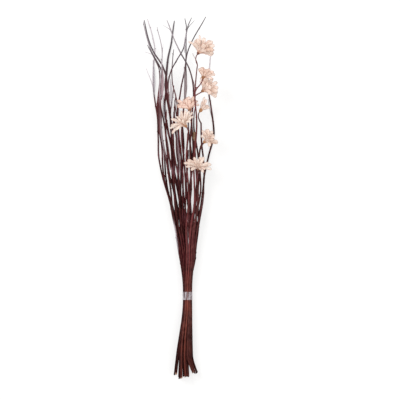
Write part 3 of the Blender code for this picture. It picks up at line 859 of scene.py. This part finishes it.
# Blooms. Dried heads of narrow papery petals in three layers, pleated along their length and
# curled at the tips, round a brown heart with stiff stamens. Small bracts wrap the foot, which
# grew on the end of the stem. Petals of neighbours that would touch lie pressed flat.
PETAL_THICKNESS = 0.3
PETAL_TURN = 2.39996
FACING_UP = 0.75
INNER_LENGTH = 0.86
# Each bloom's tint, how wide its petals are, how many more of them are set between the others,
# and how light its foot is.
LOOKS = {
    "bloom_top": (0.4, 0.32, 0.8, 0.0),
    "bloom_right": (0.45, 0.31, 0.8, 0.35),
    "bloom_upper_right": (0.65, 0.30, 0.9, 0.3),
    "bloom_middle": (0.85, 0.27, 0.7, 0.3),
    "bloom_star": (0.2, 0.19, 0.2, 0.6),
    "bloom_side": (0.3, 0.31, 0.5, 0.8),
    "bloom_low": (0.3, 0.27, 0.5, 0.15),
    "bloom_small": (0.35, 0.32, 0.6, 0.7),
}
# The longest petals, which stand out of a bloom: lean and turn in degrees, length, and width.
LONG_PETALS = {
    "bloom_top": (
        (106, 0, 43, 6.5),
        (88, 4, 29, 9.0),
        (42, 0, 50, 6.0),
        (17, 0, 46, 13.0),
        (6, 180, 49, 14.0),
        (16, 180, 52, 14.0),
        (35, 180, 50, 14.0),
        (56, 184, 45, 13.0),
    ),
    "bloom_right": ((16, 0, 46, 12.0), (5, 180, 48, 13.0), (32, 180, 45, 13.0), (60, 176, 42, 11.0)),
    "bloom_upper_right": ((84, 180, 34, 10.0), (60, 176, 34, 10.0), (124, 184, 27, 8.0)),
    "bloom_middle": ((45, 0, 45, 10.0), (70, 4, 40, 9.0), (78, 180, 33, 9.0), (108, 180, 30, 8.0)),
    "bloom_star": (
        (110, 0, 45, 8.0),
        (102, 178, 36, 7.0),
        (86, 183, 44, 7.0),
        (66, 180, 45, 7.0),
        (46, 182, 47, 7.0),
        (25, 180, 47, 7.0),
    ),
    "bloom_low": ((92, 0, 45, 10.0), (118, 180, 38, 10.0), (112, 4, 36, 8.0)),
    "bloom_small": ((22, 0, 40, 8.0), (4, 0, 36, 9.0), (45, 180, 28, 8.0)),
}
PETAL_STEPS = 15
PETAL_FOLDS = 8
PRESSED = 0.92
HEART_RADIUS = 5.0
HEART_LENGTH = 13.0


class Petal(NamedTuple):
    """How one petal leans from the bloom's axis, turns round it, and curls."""

    spread: float
    turn: float
    length: float
    curl: float
    width: float
    roll: float
    twist: float
    hook: float
    tone: float


def petal_sheet(petal, up):
    """Points of a petal, by station and by place across it, in the bloom's own frame."""
    outward = np.array((math.cos(petal.turn), math.sin(petal.turn), 0.0))
    across = np.array((-math.sin(petal.turn), math.cos(petal.turn), 0.0))
    axis = np.array((0.0, 0.0, 1.0))
    spot = outward * HEART_RADIUS * 0.35 + axis * HEART_LENGTH * 0.3
    sides = np.linspace(-1, 1, PETAL_FOLDS + 1)
    sheet = []
    for i in range(PETAL_STEPS + 1):
        t = i / PETAL_STEPS
        before = max(0.0, t - 1 / 6)
        lean = petal.spread * (0.45 + 0.55 * min(1.0, before * 1.6))
        lean += petal.curl * max(0.0, before - 0.55) / 0.45
        lean += petal.hook * max(0.0, t - 0.8) / 0.2
        forward = outward * math.sin(lean) + axis * math.cos(lean)
        facing = FACING_UP * min(1.0, 2 * t)
        level = across * (1 - facing) + np.cross(forward, up) * math.copysign(facing, math.sin(petal.turn))
        level -= forward * float(level @ forward)
        level /= np.linalg.norm(level)
        turned = petal.twist * t
        level = level * math.cos(turned) + np.cross(forward, level) * math.sin(turned)
        raised = np.cross(forward, level)
        swell = 0.34 + 0.66 * min(1.0, t / 0.5) ** 0.9
        narrowing = math.sqrt(max(0.0, 1 - (max(0.0, t - 0.78) / 0.24) ** 2))
        half = petal.width / 2 * swell * narrowing * (1 + 0.05 * math.sin(23 * t + petal.tone * 30))
        bent = petal.roll * (0.5 + 0.7 * t)
        rise = np.cos(sides * bent) / bent * half
        flat = np.sin(sides * bent) / bent * half
        pleats = 0.16 * np.cos(sides * 3 * math.pi) * min(1.0, 3 * t)
        wave = 0.5 * sides**2 * math.sin(9 * t + petal.tone * 20) * t
        lift = half / bent - rise + pleats + wave
        sheet.append(spot + level[None] * flat[:, None] + raised[None] * lift[:, None])
        spot = spot + forward * petal.length / PETAL_STEPS
    return np.array(sheet)


def grow_petal(growth, petal, turned, base, room, finish=0):
    """A thin two-sided petal, pressed flat where it would leave its room."""
    sheet = petal_sheet(petal, turned[2]) @ turned.T
    height = sheet[..., 2]
    sheet[..., 2] -= (height - np.clip(height, *room)) * PRESSED
    sheet += base
    lengthwise, sidewise = np.gradient(sheet, axis=0), np.gradient(sheet, axis=1)
    normal = np.cross(lengthwise, sidewise)
    normal /= np.linalg.norm(normal, axis=2)[..., None] + 1e-9
    faces = []
    for side in (0.5, -0.5):
        moved = sheet + normal * PETAL_THICKNESS * side
        faces.append(
            [
                [
                    growth.point(moved[i, j], petal.tone, i / PETAL_STEPS, abs(j / PETAL_FOLDS * 2 - 1))
                    for j in range(PETAL_FOLDS + 1)
                ]
                for i in range(PETAL_STEPS + 1)
            ]
        )
    top, under = faces
    half = petal.width / 2

    def measures(*places):
        return [((j / PETAL_FOLDS * 2 - 1) * half + petal.tone * 300, i / PETAL_STEPS * petal.length) for i, j in places]

    for i in range(PETAL_STEPS):
        for j in range(PETAL_FOLDS):
            places = ((i, j), (i, j + 1), (i + 1, j + 1), (i + 1, j))
            growth.face([top[a][b] for a, b in reversed(places)], measures(*reversed(places)), finish)
            growth.face([under[a][b] for a, b in places], measures(*places), finish)
    rim = [(i, 0) for i in range(PETAL_STEPS + 1)]
    rim += [(PETAL_STEPS, j) for j in range(1, PETAL_FOLDS + 1)]
    rim += [(i, PETAL_FOLDS) for i in range(PETAL_STEPS - 1, -1, -1)]
    rim += [(0, j) for j in range(PETAL_FOLDS - 1, 0, -1)]
    for (a, b), (c, d) in zip(rim, rim[1:] + rim[:1], strict=True):
        growth.face((under[a][b], under[c][d], top[c][d], top[a][b]), measures((a, b), (c, d), (c, d), (a, b)), finish)


def grow_heart(growth, turned, base, draw, foot_tone):
    """The brown foot and heart: a pleated cup and a tuft of stamens."""
    axis = turned @ np.array((0.0, 0.0, 1.0))
    line = [Vector(base + axis * HEART_LENGTH * t) for t in (0.0, 0.12, 0.3, 0.5, 0.7, 0.86, 0.95)]
    radii = [HEART_RADIUS * w for w in (0.38, 0.62, 0.9, 1.0, 0.86, 0.6, 0.3)]
    made, _ = grow_rod(growth, line, radii, foot_tone, draw, sides=14, ribs=0.06, finish=1, closed=False)
    close_tip(growth, made[-1], Vector(base + axis * HEART_LENGTH), foot_tone, 0.5, 1)
    foot = growth.point(Vector(base), foot_tone, 0.0)
    for j, corner in enumerate(made[0]):
        growth.face((corner, made[0][(j + 1) % 14], foot), ((j, 0), (j + 1, 0), (j, 1)), 1)
    for i in range(34):
        lean, turn = draw.uniform(0.05, 0.75), draw.uniform(0, 6.28)
        heading = np.array((math.sin(lean) * math.cos(turn), math.sin(lean) * math.sin(turn), math.cos(lean)))
        start = np.array((heading[0] * 2.6, heading[1] * 2.6, HEART_LENGTH * 0.78))
        long = draw.uniform(5.0, 8.5)
        thread = [Vector(turned @ (start + heading * long * t) + base) for t in (0.0, 0.5, 0.85)]
        made, _ = grow_rod(growth, thread, (0.32, 0.26, 0.42), draw.uniform(0.5, 1.0), draw, sides=5, ribs=0, finish=1)
        close_tip(growth, made[-1], Vector(turned @ (start + heading * long) + base), 0.8, 0.5, 1)


def petal_finish():
    """Dry papery petal: cream, peach towards its foot, brown along its veins, edges and tip, with painted shade on its
    edges and a faint painted glow.
    """
    material, wiring, shader = finish_named("dried petal", 0.62)
    veins = wiring.node("ShaderNodeGroup", {"node_tree": streaks}, Across=0.75, Along=0.03, Roughness=0.5)
    tone = wiring.attribute("tone")
    along = wiring.attribute("reach")
    colour = wiring.mix(tone, (0.86, 0.78, 0.70), (0.85, 0.63, 0.53))
    colour = wiring.mix(wiring.between(along, 0.42, 0.04, 0.0, 0.85), colour, (0.50, 0.21, 0.10))
    lines = wiring.between(veins.outputs["Streaks"], 0.52, 0.7)
    colour = wiring.mix(wiring.math("MULTIPLY", lines, 0.5), colour, (0.50, 0.25, 0.17))
    # Darker rims: partly the petals' own thin brown edges, partly painted shade where petals overlap.
    rim = wiring.between(wiring.attribute("edge"), 0.66, 1.0)
    colour = wiring.mix(wiring.math("MULTIPLY", rim, 0.75), colour, (0.36, 0.15, 0.10))
    stains = wiring.between(veins.outputs["Blotches"], 0.52, 0.72)
    colour = wiring.mix(wiring.math("MULTIPLY", stains, 0.25), colour, (0.66, 0.42, 0.26))
    tips = wiring.math("MULTIPLY", wiring.between(along, 0.88, 1.0), wiring.between(tone, 0.1, 0.9, 0.1, 0.6))
    colour = wiring.mix(tips, colour, (0.28, 0.13, 0.09))
    wiring.feed(shader.inputs["Base Color"], colour)
    solid = wiring.math("ADD", wiring.math("MULTIPLY", lines, 0.35), wiring.math("MULTIPLY", rim, 0.4), clamp=True)
    solid = wiring.math("MAXIMUM", solid, wiring.between(along, 0.35, 0.05))
    wiring.feed(shader.inputs["Alpha"], wiring.between(solid, 0.0, 1.0, 0.6, 1.0))
    wiring.feed(shader.inputs["Roughness"], wiring.between(veins.outputs["Streaks"], 0.3, 0.7, 0.5, 0.75))
    # Painted glow: the petal emits a little of its own colour, standing in for light that shines through it.
    wiring.feed(shader.inputs["Emission Color"], colour)
    shader.inputs["Emission Strength"].default_value = 0.1
    bump = wiring.node("ShaderNodeBump", Strength=0.5, Distance=0.0003, Height=veins.outputs["Streaks"])
    wiring.feed(shader.inputs["Normal"], bump.outputs[0])
    return material


def heart_finish():
    """The heart and its stamens: orange brown, darker at the foot."""
    material, wiring, shader = finish_named("bloom heart", 0.7)
    grain = wiring.node("ShaderNodeGroup", {"node_tree": streaks}, Across=1.5, Along=0.3, Roughness=0.6)
    tone = wiring.attribute("tone")
    colour = wiring.mix(tone, (0.15, 0.050, 0.030), (0.60, 0.28, 0.10))
    colour = wiring.mix(wiring.between(grain.outputs["Streaks"], 0.4, 0.75, 0.0, 0.6), colour, (0.16, 0.06, 0.04))
    wiring.feed(shader.inputs["Base Color"], colour)
    bump = wiring.node("ShaderNodeBump", Strength=0.5, Distance=0.0003, Height=grain.outputs["Streaks"])
    wiring.feed(shader.inputs["Normal"], bump.outputs[0])
    return material


dried_petal = petal_finish()
bloom_heart = heart_finish()

for name, bloom in BLOOMS.items():
    growth = Growth()
    draw = random.Random(name)
    turned = np.array(bloom_axis(bloom).to_track_quat("Z", "Y").to_matrix())
    base = np.array(bloom.base, float)
    room = (bloom.lowest - bloom.base[2], bloom.highest - bloom.base[2])
    shape = random.Random(name)
    tint, width_share, fullness, foot_tone = LOOKS[name]
    petals = []
    for i in range(bloom.petals):
        layer = i % 3
        spread = bloom.inner + (bloom.outer - bloom.inner) * layer / 2
        spread = math.radians(spread + shape.uniform(-5, 5))
        turn = 2 * math.pi * (i + shape.uniform(-0.14, 0.14)) / bloom.petals
        length = bloom.length * shape.uniform(0.84, 1.0) * (1 if layer else INNER_LENGTH)
        petals.append((spread, turn, length, math.radians(shape.uniform(-25, 40)), width_share * length))
    for i in range(round(fullness * bloom.petals)):
        spread = math.radians(bloom.inner * 0.6 + (bloom.outer - bloom.inner * 0.6) * draw.random() ** 0.6)
        length = bloom.length * draw.uniform(0.72, 0.94)
        curl = math.radians(draw.uniform(-10, 30))
        petals.append((spread, i * PETAL_TURN, length, curl, (width_share - 0.04) * length))
    for lean, turn, length, width in LONG_PETALS.get(name, ()):
        petals.append((math.radians(lean), math.radians(turn), length, 0.15, width))
    for spread, turn, length, curl, width in petals:
        petal = Petal(
            spread,
            turn,
            length,
            curl,
            width * draw.uniform(0.88, 1.0),
            draw.uniform(0.15, 0.45),
            draw.uniform(-0.15, 0.15),
            draw.uniform(-0.2, 0.3),
            min(1.0, max(0.0, tint + draw.uniform(-0.15, 0.15))),
        )
        grow_petal(growth, petal, turned, base, room)
    for i in range(11):
        bract = Petal(
            math.radians(draw.uniform(14, 34)),
            2 * math.pi * (i + draw.uniform(-0.2, 0.2)) / 11,
            draw.uniform(8, 13),
            math.radians(draw.uniform(-10, 30)),
            3.4,
            0.9,
            0.0,
            0.0,
            foot_tone + (1 - foot_tone) * draw.random() * foot_tone,
        )
        grow_petal(growth, bract, turned, base - turned @ np.array((0, 0, HEART_LENGTH * 0.22)), (-60, 90), 1)
    grow_heart(growth, turned, base, draw, foot_tone)
    growth.as_piece(name + "_petals", (dried_petal, bloom_heart), name)

# Long bud. A bloom that dried before it opened: overlapping husk scales, closed to a point.
BUD_LENGTH = 26.0
BUD_RADIUS = 4.5
BUD_SCALES = 22


def husk_finish():
    """Brown husk with paler lengthwise fibres, each scale lighter or darker at random."""
    material, wiring, shader = finish_named("brown husk", 0.6)
    grain = wiring.node("ShaderNodeGroup", {"node_tree": streaks}, Across=2.0, Along=0.15, Roughness=0.6)
    colour = wiring.mix(wiring.attribute("tone"), (0.20, 0.095, 0.05), (0.46, 0.28, 0.15))
    fibres = wiring.between(grain.outputs["Streaks"], 0.4, 0.7)
    colour = wiring.mix(wiring.math("MULTIPLY", fibres, 0.5), colour, (0.62, 0.44, 0.28))
    wiring.feed(shader.inputs["Base Color"], colour)
    bump = wiring.node("ShaderNodeBump", Strength=0.6, Distance=0.0003, Height=fibres)
    wiring.feed(shader.inputs["Normal"], bump.outputs[0])
    return material


brown_husk = husk_finish()
growth = Growth()
draw = random.Random("long bud")
bud_base, bud_axis = bud_seat()
core = [bud_base + bud_axis * BUD_LENGTH * t for t in (0.0, 0.1, 0.3, 0.55, 0.8, 0.95)]
made, _ = grow_rod(growth, core, [BUD_RADIUS * w for w in (0.3, 0.6, 0.86, 0.86, 0.55, 0.2)], 0.2, draw, sides=14)
close_tip(growth, made[-1], bud_base + bud_axis * BUD_LENGTH, 0.2, 1.0)
turned = np.array(bud_axis.to_track_quat("Z", "Y").to_matrix())
for i in range(BUD_SCALES):
    share = i / BUD_SCALES
    turn = i * 2.4
    foot = turned @ np.array((0, 0, share * BUD_LENGTH * 0.62 - 3.0)) + np.array(bud_base)
    scale = Petal(0.5 - 0.25 * share, turn, 11.0 - 2.5 * share, -0.75, 5.4, 1.1, 0.0, -0.3, draw.random())
    grow_petal(growth, scale, turned, foot, (-60, 90))
growth.as_piece("bud_husk", (brown_husk,), "bud")

# Dry leaves. Long grey leaves that lie along a twig, with a raised midrib and a slight wave. The
# widest is a solid of its own, and the two thin ones near the tips are only here.
LEAF_TWIG = "twig_fifth_tall"
LEAF_WIDTH = 8.5
LEAF_FOOT_WIDTH = 1.6
LEAF_ABOVE_TWIG = 2.5
LEAF_ARCH = 1.5
LEAF_THICKNESS = 0.5
LEAF_STEPS = 40
LEAF_FOLDS = 8


class Leaf(NamedTuple):
    """A leaf by the across and along of its foot and tip, its twig, its bow and its full width."""

    foot: tuple
    tip: tuple
    twig: str = LEAF_TWIG
    bow: float = 3.5
    width: float = LEAF_WIDTH


def leaf_finish(name, dark, light, edge, solid):
    """Grey mauve dry leaf, veined along its length and browner at the edges."""
    material, wiring, shader = finish_named(name, 0.65)
    grain = wiring.node("ShaderNodeGroup", {"node_tree": streaks}, Across=1.5, Along=0.06, Roughness=0.6)
    fibres = wiring.between(grain.outputs["Streaks"], 0.38, 0.68)
    colour = wiring.mix(fibres, dark, light)
    rim = wiring.between(wiring.attribute("tone"), 0.75, 1.0, 0.0, 0.8)
    colour = wiring.mix(rim, colour, edge)
    wiring.feed(shader.inputs["Base Color"], colour)
    wiring.feed(shader.inputs["Alpha"], wiring.math("MAXIMUM", rim, solid, clamp=True))
    bump = wiring.node("ShaderNodeBump", Strength=0.6, Distance=0.0003, Height=fibres)
    wiring.feed(shader.inputs["Normal"], bump.outputs[0])
    return material


def grow_leaf(growth, leaf):
    every = ((row, slot) for row, stems in enumerate(ROWS) for slot in range(len(stems)))
    row, slot = next((row, slot) for row, slot in every if ROWS[row][slot].name == leaf.twig)
    point, _, _ = stem_curve(row, slot)
    grid = {0.5: [], -0.5: []}
    for i in range(LEAF_STEPS + 1):
        t = i / LEAF_STEPS
        x = leaf.foot[0] + (leaf.tip[0] - leaf.foot[0]) * t + leaf.bow * math.sin(math.pi * t)
        along = leaf.foot[1] + (leaf.tip[1] - leaf.foot[1]) * t
        half = (LEAF_FOOT_WIDTH + (leaf.width - LEAF_FOOT_WIDTH) * math.sin(math.pi * t**0.8)) / 2
        z = point(along).z + LEAF_ABOVE_TWIG + LEAF_ARCH * math.sin(math.pi * t)
        for side, rows in grid.items():
            made = []
            for j in range(LEAF_FOLDS + 1):
                u = j / LEAF_FOLDS * 2 - 1
                rise = 0.9 * u * u + 0.35 * math.exp(-((u / 0.14) ** 2)) + 0.3 * u * math.sin(11 * t)
                made.append(growth.point((x + u * half, along, z + rise + side * LEAF_THICKNESS), abs(u), t))
            rows.append(made)
    top, under = grid[0.5], grid[-0.5]
    for i in range(LEAF_STEPS):
        for j in range(LEAF_FOLDS):
            places = ((i, j), (i, j + 1), (i + 1, j + 1), (i + 1, j))
            spots = [(b * leaf.width / LEAF_FOLDS, a * 2.4) for a, b in places]
            growth.face([top[a][b] for a, b in places], spots)
            growth.face([under[a][b] for a, b in reversed(places)], spots)
    last = LEAF_FOLDS
    for i in range(LEAF_STEPS):
        for j, flip in ((0, False), (last, True)):
            corners = (top[i + 1][j], under[i + 1][j], under[i][j], top[i][j])
            growth.face(corners[::-1] if flip else corners, ((0, 0), (0, 1), (1, 1), (1, 0)))
    for i, flip in ((0, False), (LEAF_STEPS, True)):
        for j in range(last):
            corners = (top[i][j], under[i][j], under[i][j + 1], top[i][j + 1])
            growth.face(corners[::-1] if flip else corners, ((0, 0), (0, 1), (1, 1), (1, 0)))


LEAVES = (
    (
        "dry_leaf_blade",
        leaf_finish("dry grey leaf", (0.14, 0.10, 0.105), (0.36, 0.30, 0.31), (0.09, 0.05, 0.045), 1.0),
        (Leaf((-8.0, 762.0), (-9.0, 858.0)),),
    ),
    (
        "thin_leaf",
        leaf_finish("thin grey leaf", (0.33, 0.29, 0.32), (0.55, 0.50, 0.54), (0.18, 0.14, 0.15), 0.45),
        (
            Leaf((-7.5, 896.0), (-1.0, 962.0), bow=-1.5, width=6.0),
            Leaf((-93.0, 776.0), (-95.0, 880.0), "twig_low_left", 1.5, 7.0),
            Leaf((-64.8, 695.0), (-66.5, 780.0), "twig_third_left", 0.0, 6.0),
            Leaf((-43.6, 744.0), (-47.7, 826.0), "twig_fourth_leaning", 1.5, 7.0),
        ),
    ),
    (
        "mauve_leaf",
        leaf_finish("mauve leaf", (0.28, 0.17, 0.19), (0.56, 0.42, 0.45), (0.14, 0.055, 0.055), 0.75),
        (
            Leaf((-70.9, 768.0), (-68.2, 853.0), "twig_fourth_left", 1.0, 8.0),
            Leaf((-47.0, 575.0), (-62.0, 690.0), "twig_third_leaning", 1.5, 5.0),
            Leaf((-36.0, 590.0), (-47.0, 720.0), "twig_third_inner", 1.0, 5.0),
            Leaf((-20.0, 560.0), (-29.0, 672.0), "twig_fourth_inner", 1.0, 5.0),
        ),
    ),
    (
        "maroon_husk",
        leaf_finish("maroon husk", (0.10, 0.030, 0.034), (0.23, 0.10, 0.11), (0.07, 0.02, 0.02), 1.0),
        (
            Leaf((-75.2, 665.0), (-76.0, 779.0), "twig_third_left", 0.5, 9.5),
            Leaf((-27.3, 596.0), (-31.4, 684.0), "twig_third_inner", 0.5, 8.0),
            Leaf((2.1, 300.0), (0.3, 420.0), "flower_stem_middle", 0.0, 4.0),
            Leaf((-19.0, 350.0), (-24.0, 415.0), "twig_third_left", 0.0, 4.5),
        ),
    ),
)
for kind, finish, leaves in LEAVES:
    for number, leaf in enumerate(leaves, 1):
        growth = Growth()
        grow_leaf(growth, leaf)
        if kind == "dry_leaf_blade":
            growth.as_piece(kind, (finish,), "dry_leaf")
        else:
            growth.as_piece(f"{kind}_{number}", (finish,), None)

# Tie. Clear film, wound tight round the stems in several turns and pressed on itself. It
# creases lengthwise over the twigs, shines, and lets them show through.
FILM_STEPS = 26
FILM_CORNER_STEPS = 6
FILM_SIDE_STEPS = 7
FILM_TURN_STEP = 0.18


def tie_outline():
    """Places round the rounded hexagon of stem middles, and the way out at each."""
    middle_row = len(ROWS) // 2
    right = [(slot_place(row, len(ROWS[row]) - 1), row * ROW_PITCH) for row in (0, middle_row, len(ROWS) - 1)]
    ring = right + [(-x, z) for x, z in reversed(right)]
    outline = []
    for i, (x, z) in enumerate(ring):
        before, after = ring[i - 1], ring[(i + 1) % len(ring)]
        first = math.atan2(z - before[1], x - before[0]) - math.pi / 2
        second = math.atan2(after[1] - z, after[0] - x) - math.pi / 2
        turn = (second - first) % (2 * math.pi)
        for step in range(FILM_CORNER_STEPS + 1):
            outline.append((x, z, first + turn * step / FILM_CORNER_STEPS))
        for step in range(1, FILM_SIDE_STEPS):
            t = step / FILM_SIDE_STEPS
            outline.append((x + (after[0] - x) * t, z + (after[1] - z) * t, second))
    return outline


def film_finish():
    """Clear film in many turns: whitish where it creases, with painted highlights along the creases, clear where it
    lies flat.
    """
    material, wiring, shader = finish_named("clear film", 0.28)
    grain = wiring.node("ShaderNodeGroup", {"node_tree": streaks}, Across=0.4, Along=0.02, Roughness=0.4)
    creases = wiring.between(grain.outputs["Streaks"], 0.42, 0.66)
    # The whitish streaks are partly the film's own whitening where it creases, partly painted highlights.
    colour = wiring.mix(creases, (0.42, 0.34, 0.36), (0.78, 0.74, 0.78))
    wiring.feed(shader.inputs["Base Color"], colour)
    wiring.feed(shader.inputs["Alpha"], wiring.between(grain.outputs["Streaks"], 0.4, 0.68, 0.18, 0.66))
    shader.inputs["Coat Weight"].default_value = 0.3
    bump = wiring.node("ShaderNodeBump", Strength=0.5, Distance=0.0006, Height=creases)
    wiring.feed(shader.inputs["Normal"], bump.outputs[0])
    return material


def grow_film(growth):
    outline = tie_outline()
    count = len(outline)
    draw = random.Random("film")
    creases = [draw.uniform(-0.16, 0.2) for _ in range(count)]
    layers = []
    for side in (0, 1):
        rows = []
        for i in range(FILM_STEPS + 1):
            t = i / FILM_STEPS
            along = TIE_BOTTOM + TIE_WIDTH * t
            made = []
            for j, (x, z, angle) in enumerate(outline):
                turned = (j / count + t * 3.2) % 1.0
                out = TIE_RADIUS + CLEARANCE + side * TIE_WALL
                if side:
                    out += FILM_TURN_STEP * (turned - 1) + 0.6 * creases[j] * math.sin(5 * t + j)
                place = (x + out * math.cos(angle), along, LOWEST_ROW + z + out * math.sin(angle))
                made.append(growth.point((place[0], place[1], max(0.02, place[2])), creases[j] + 0.5, t))
            rows.append(made)
        layers.append(rows)
    inner, outer = layers
    for i in range(FILM_STEPS):
        for j in range(count):
            k = (j + 1) % count
            spots = ((j * 1.1, i), (j * 1.1 + 1.1, i), (j * 1.1 + 1.1, i + 1), (j * 1.1, i + 1))
            growth.face((outer[i][k], outer[i][j], outer[i + 1][j], outer[i + 1][k]), spots)
            growth.face((inner[i][j], inner[i][k], inner[i + 1][k], inner[i + 1][j]), spots)
    for i, flip in ((0, False), (FILM_STEPS, True)):
        for j in range(count):
            k = (j + 1) % count
            corners = (outer[i][j], outer[i][k], inner[i][k], inner[i][j])
            growth.face(corners[::-1] if flip else corners, ((j, 0), (k, 0), (k, 1), (j, 1)))


growth = Growth()
grow_film(growth)
growth.as_piece("tie_film", (film_finish(),), "tie_band")

# Table and light. A smooth pale light board, which glows evenly, under two large soft lamps in
# a bright even room, so that the bouquet casts hardly any shadow.
SURFACE_SIDE = 14.0
SURFACE_DROP = 0.0003
BOARD_GLOW = 0.66
ROOM_LIGHT = 0.7
LAMPS = (
    ("key lamp", (-1.6, 1.2, 2.6), 1.6, 56.0),
    ("fill lamp", (1.8, -0.6, 2.4), 2.0, 28.0),
)


def surface_finish():
    """Matt white board, with the faintest unevenness."""
    material, wiring, shader = finish_named("pale board", 0.9)
    place = wiring.node("ShaderNodeTexCoord").outputs["Object"]
    mottle = wiring.node("ShaderNodeTexNoise", Vector=place, Scale=3.0, Detail=2.0)
    colour = wiring.mix(mottle.outputs[0], (0.31, 0.308, 0.305), (0.33, 0.33, 0.33))
    wiring.feed(shader.inputs["Base Color"], colour)
    shader.inputs["Emission Color"].default_value = (1.0, 1.0, 1.0, 1.0)
    shader.inputs["Emission Strength"].default_value = BOARD_GLOW
    return material


board = bmesh.new()
bmesh.ops.create_grid(board, x_segments=1, y_segments=1, size=SURFACE_SIDE / 2)
mesh = bpy.data.meshes.new("table")
board.to_mesh(mesh)
board.free()
mesh.materials.append(surface_finish())
table = bpy.data.objects.new("table", mesh)
table.location.z = -SURFACE_DROP
bpy.context.scene.collection.objects.link(table)

for name, place, size, power in LAMPS:
    lamp = bpy.data.lights.new(name, "AREA")
    lamp.energy = power
    lamp.size = size
    hung = bpy.data.objects.new(name, lamp)
    hung.location = place
    hung.rotation_euler = Vector(place).to_track_quat("Z", "Y").to_euler()
    bpy.context.scene.collection.objects.link(hung)

room = bpy.data.worlds.new("bright room")
room.use_nodes = True
room.node_tree.nodes["Background"].inputs["Color"].default_value = (1.0, 0.99, 0.98, 1.0)
room.node_tree.nodes["Background"].inputs["Strength"].default_value = ROOM_LIGHT
bpy.context.scene.world = room
bpy.context.scene.view_settings.view_transform = "Standard"
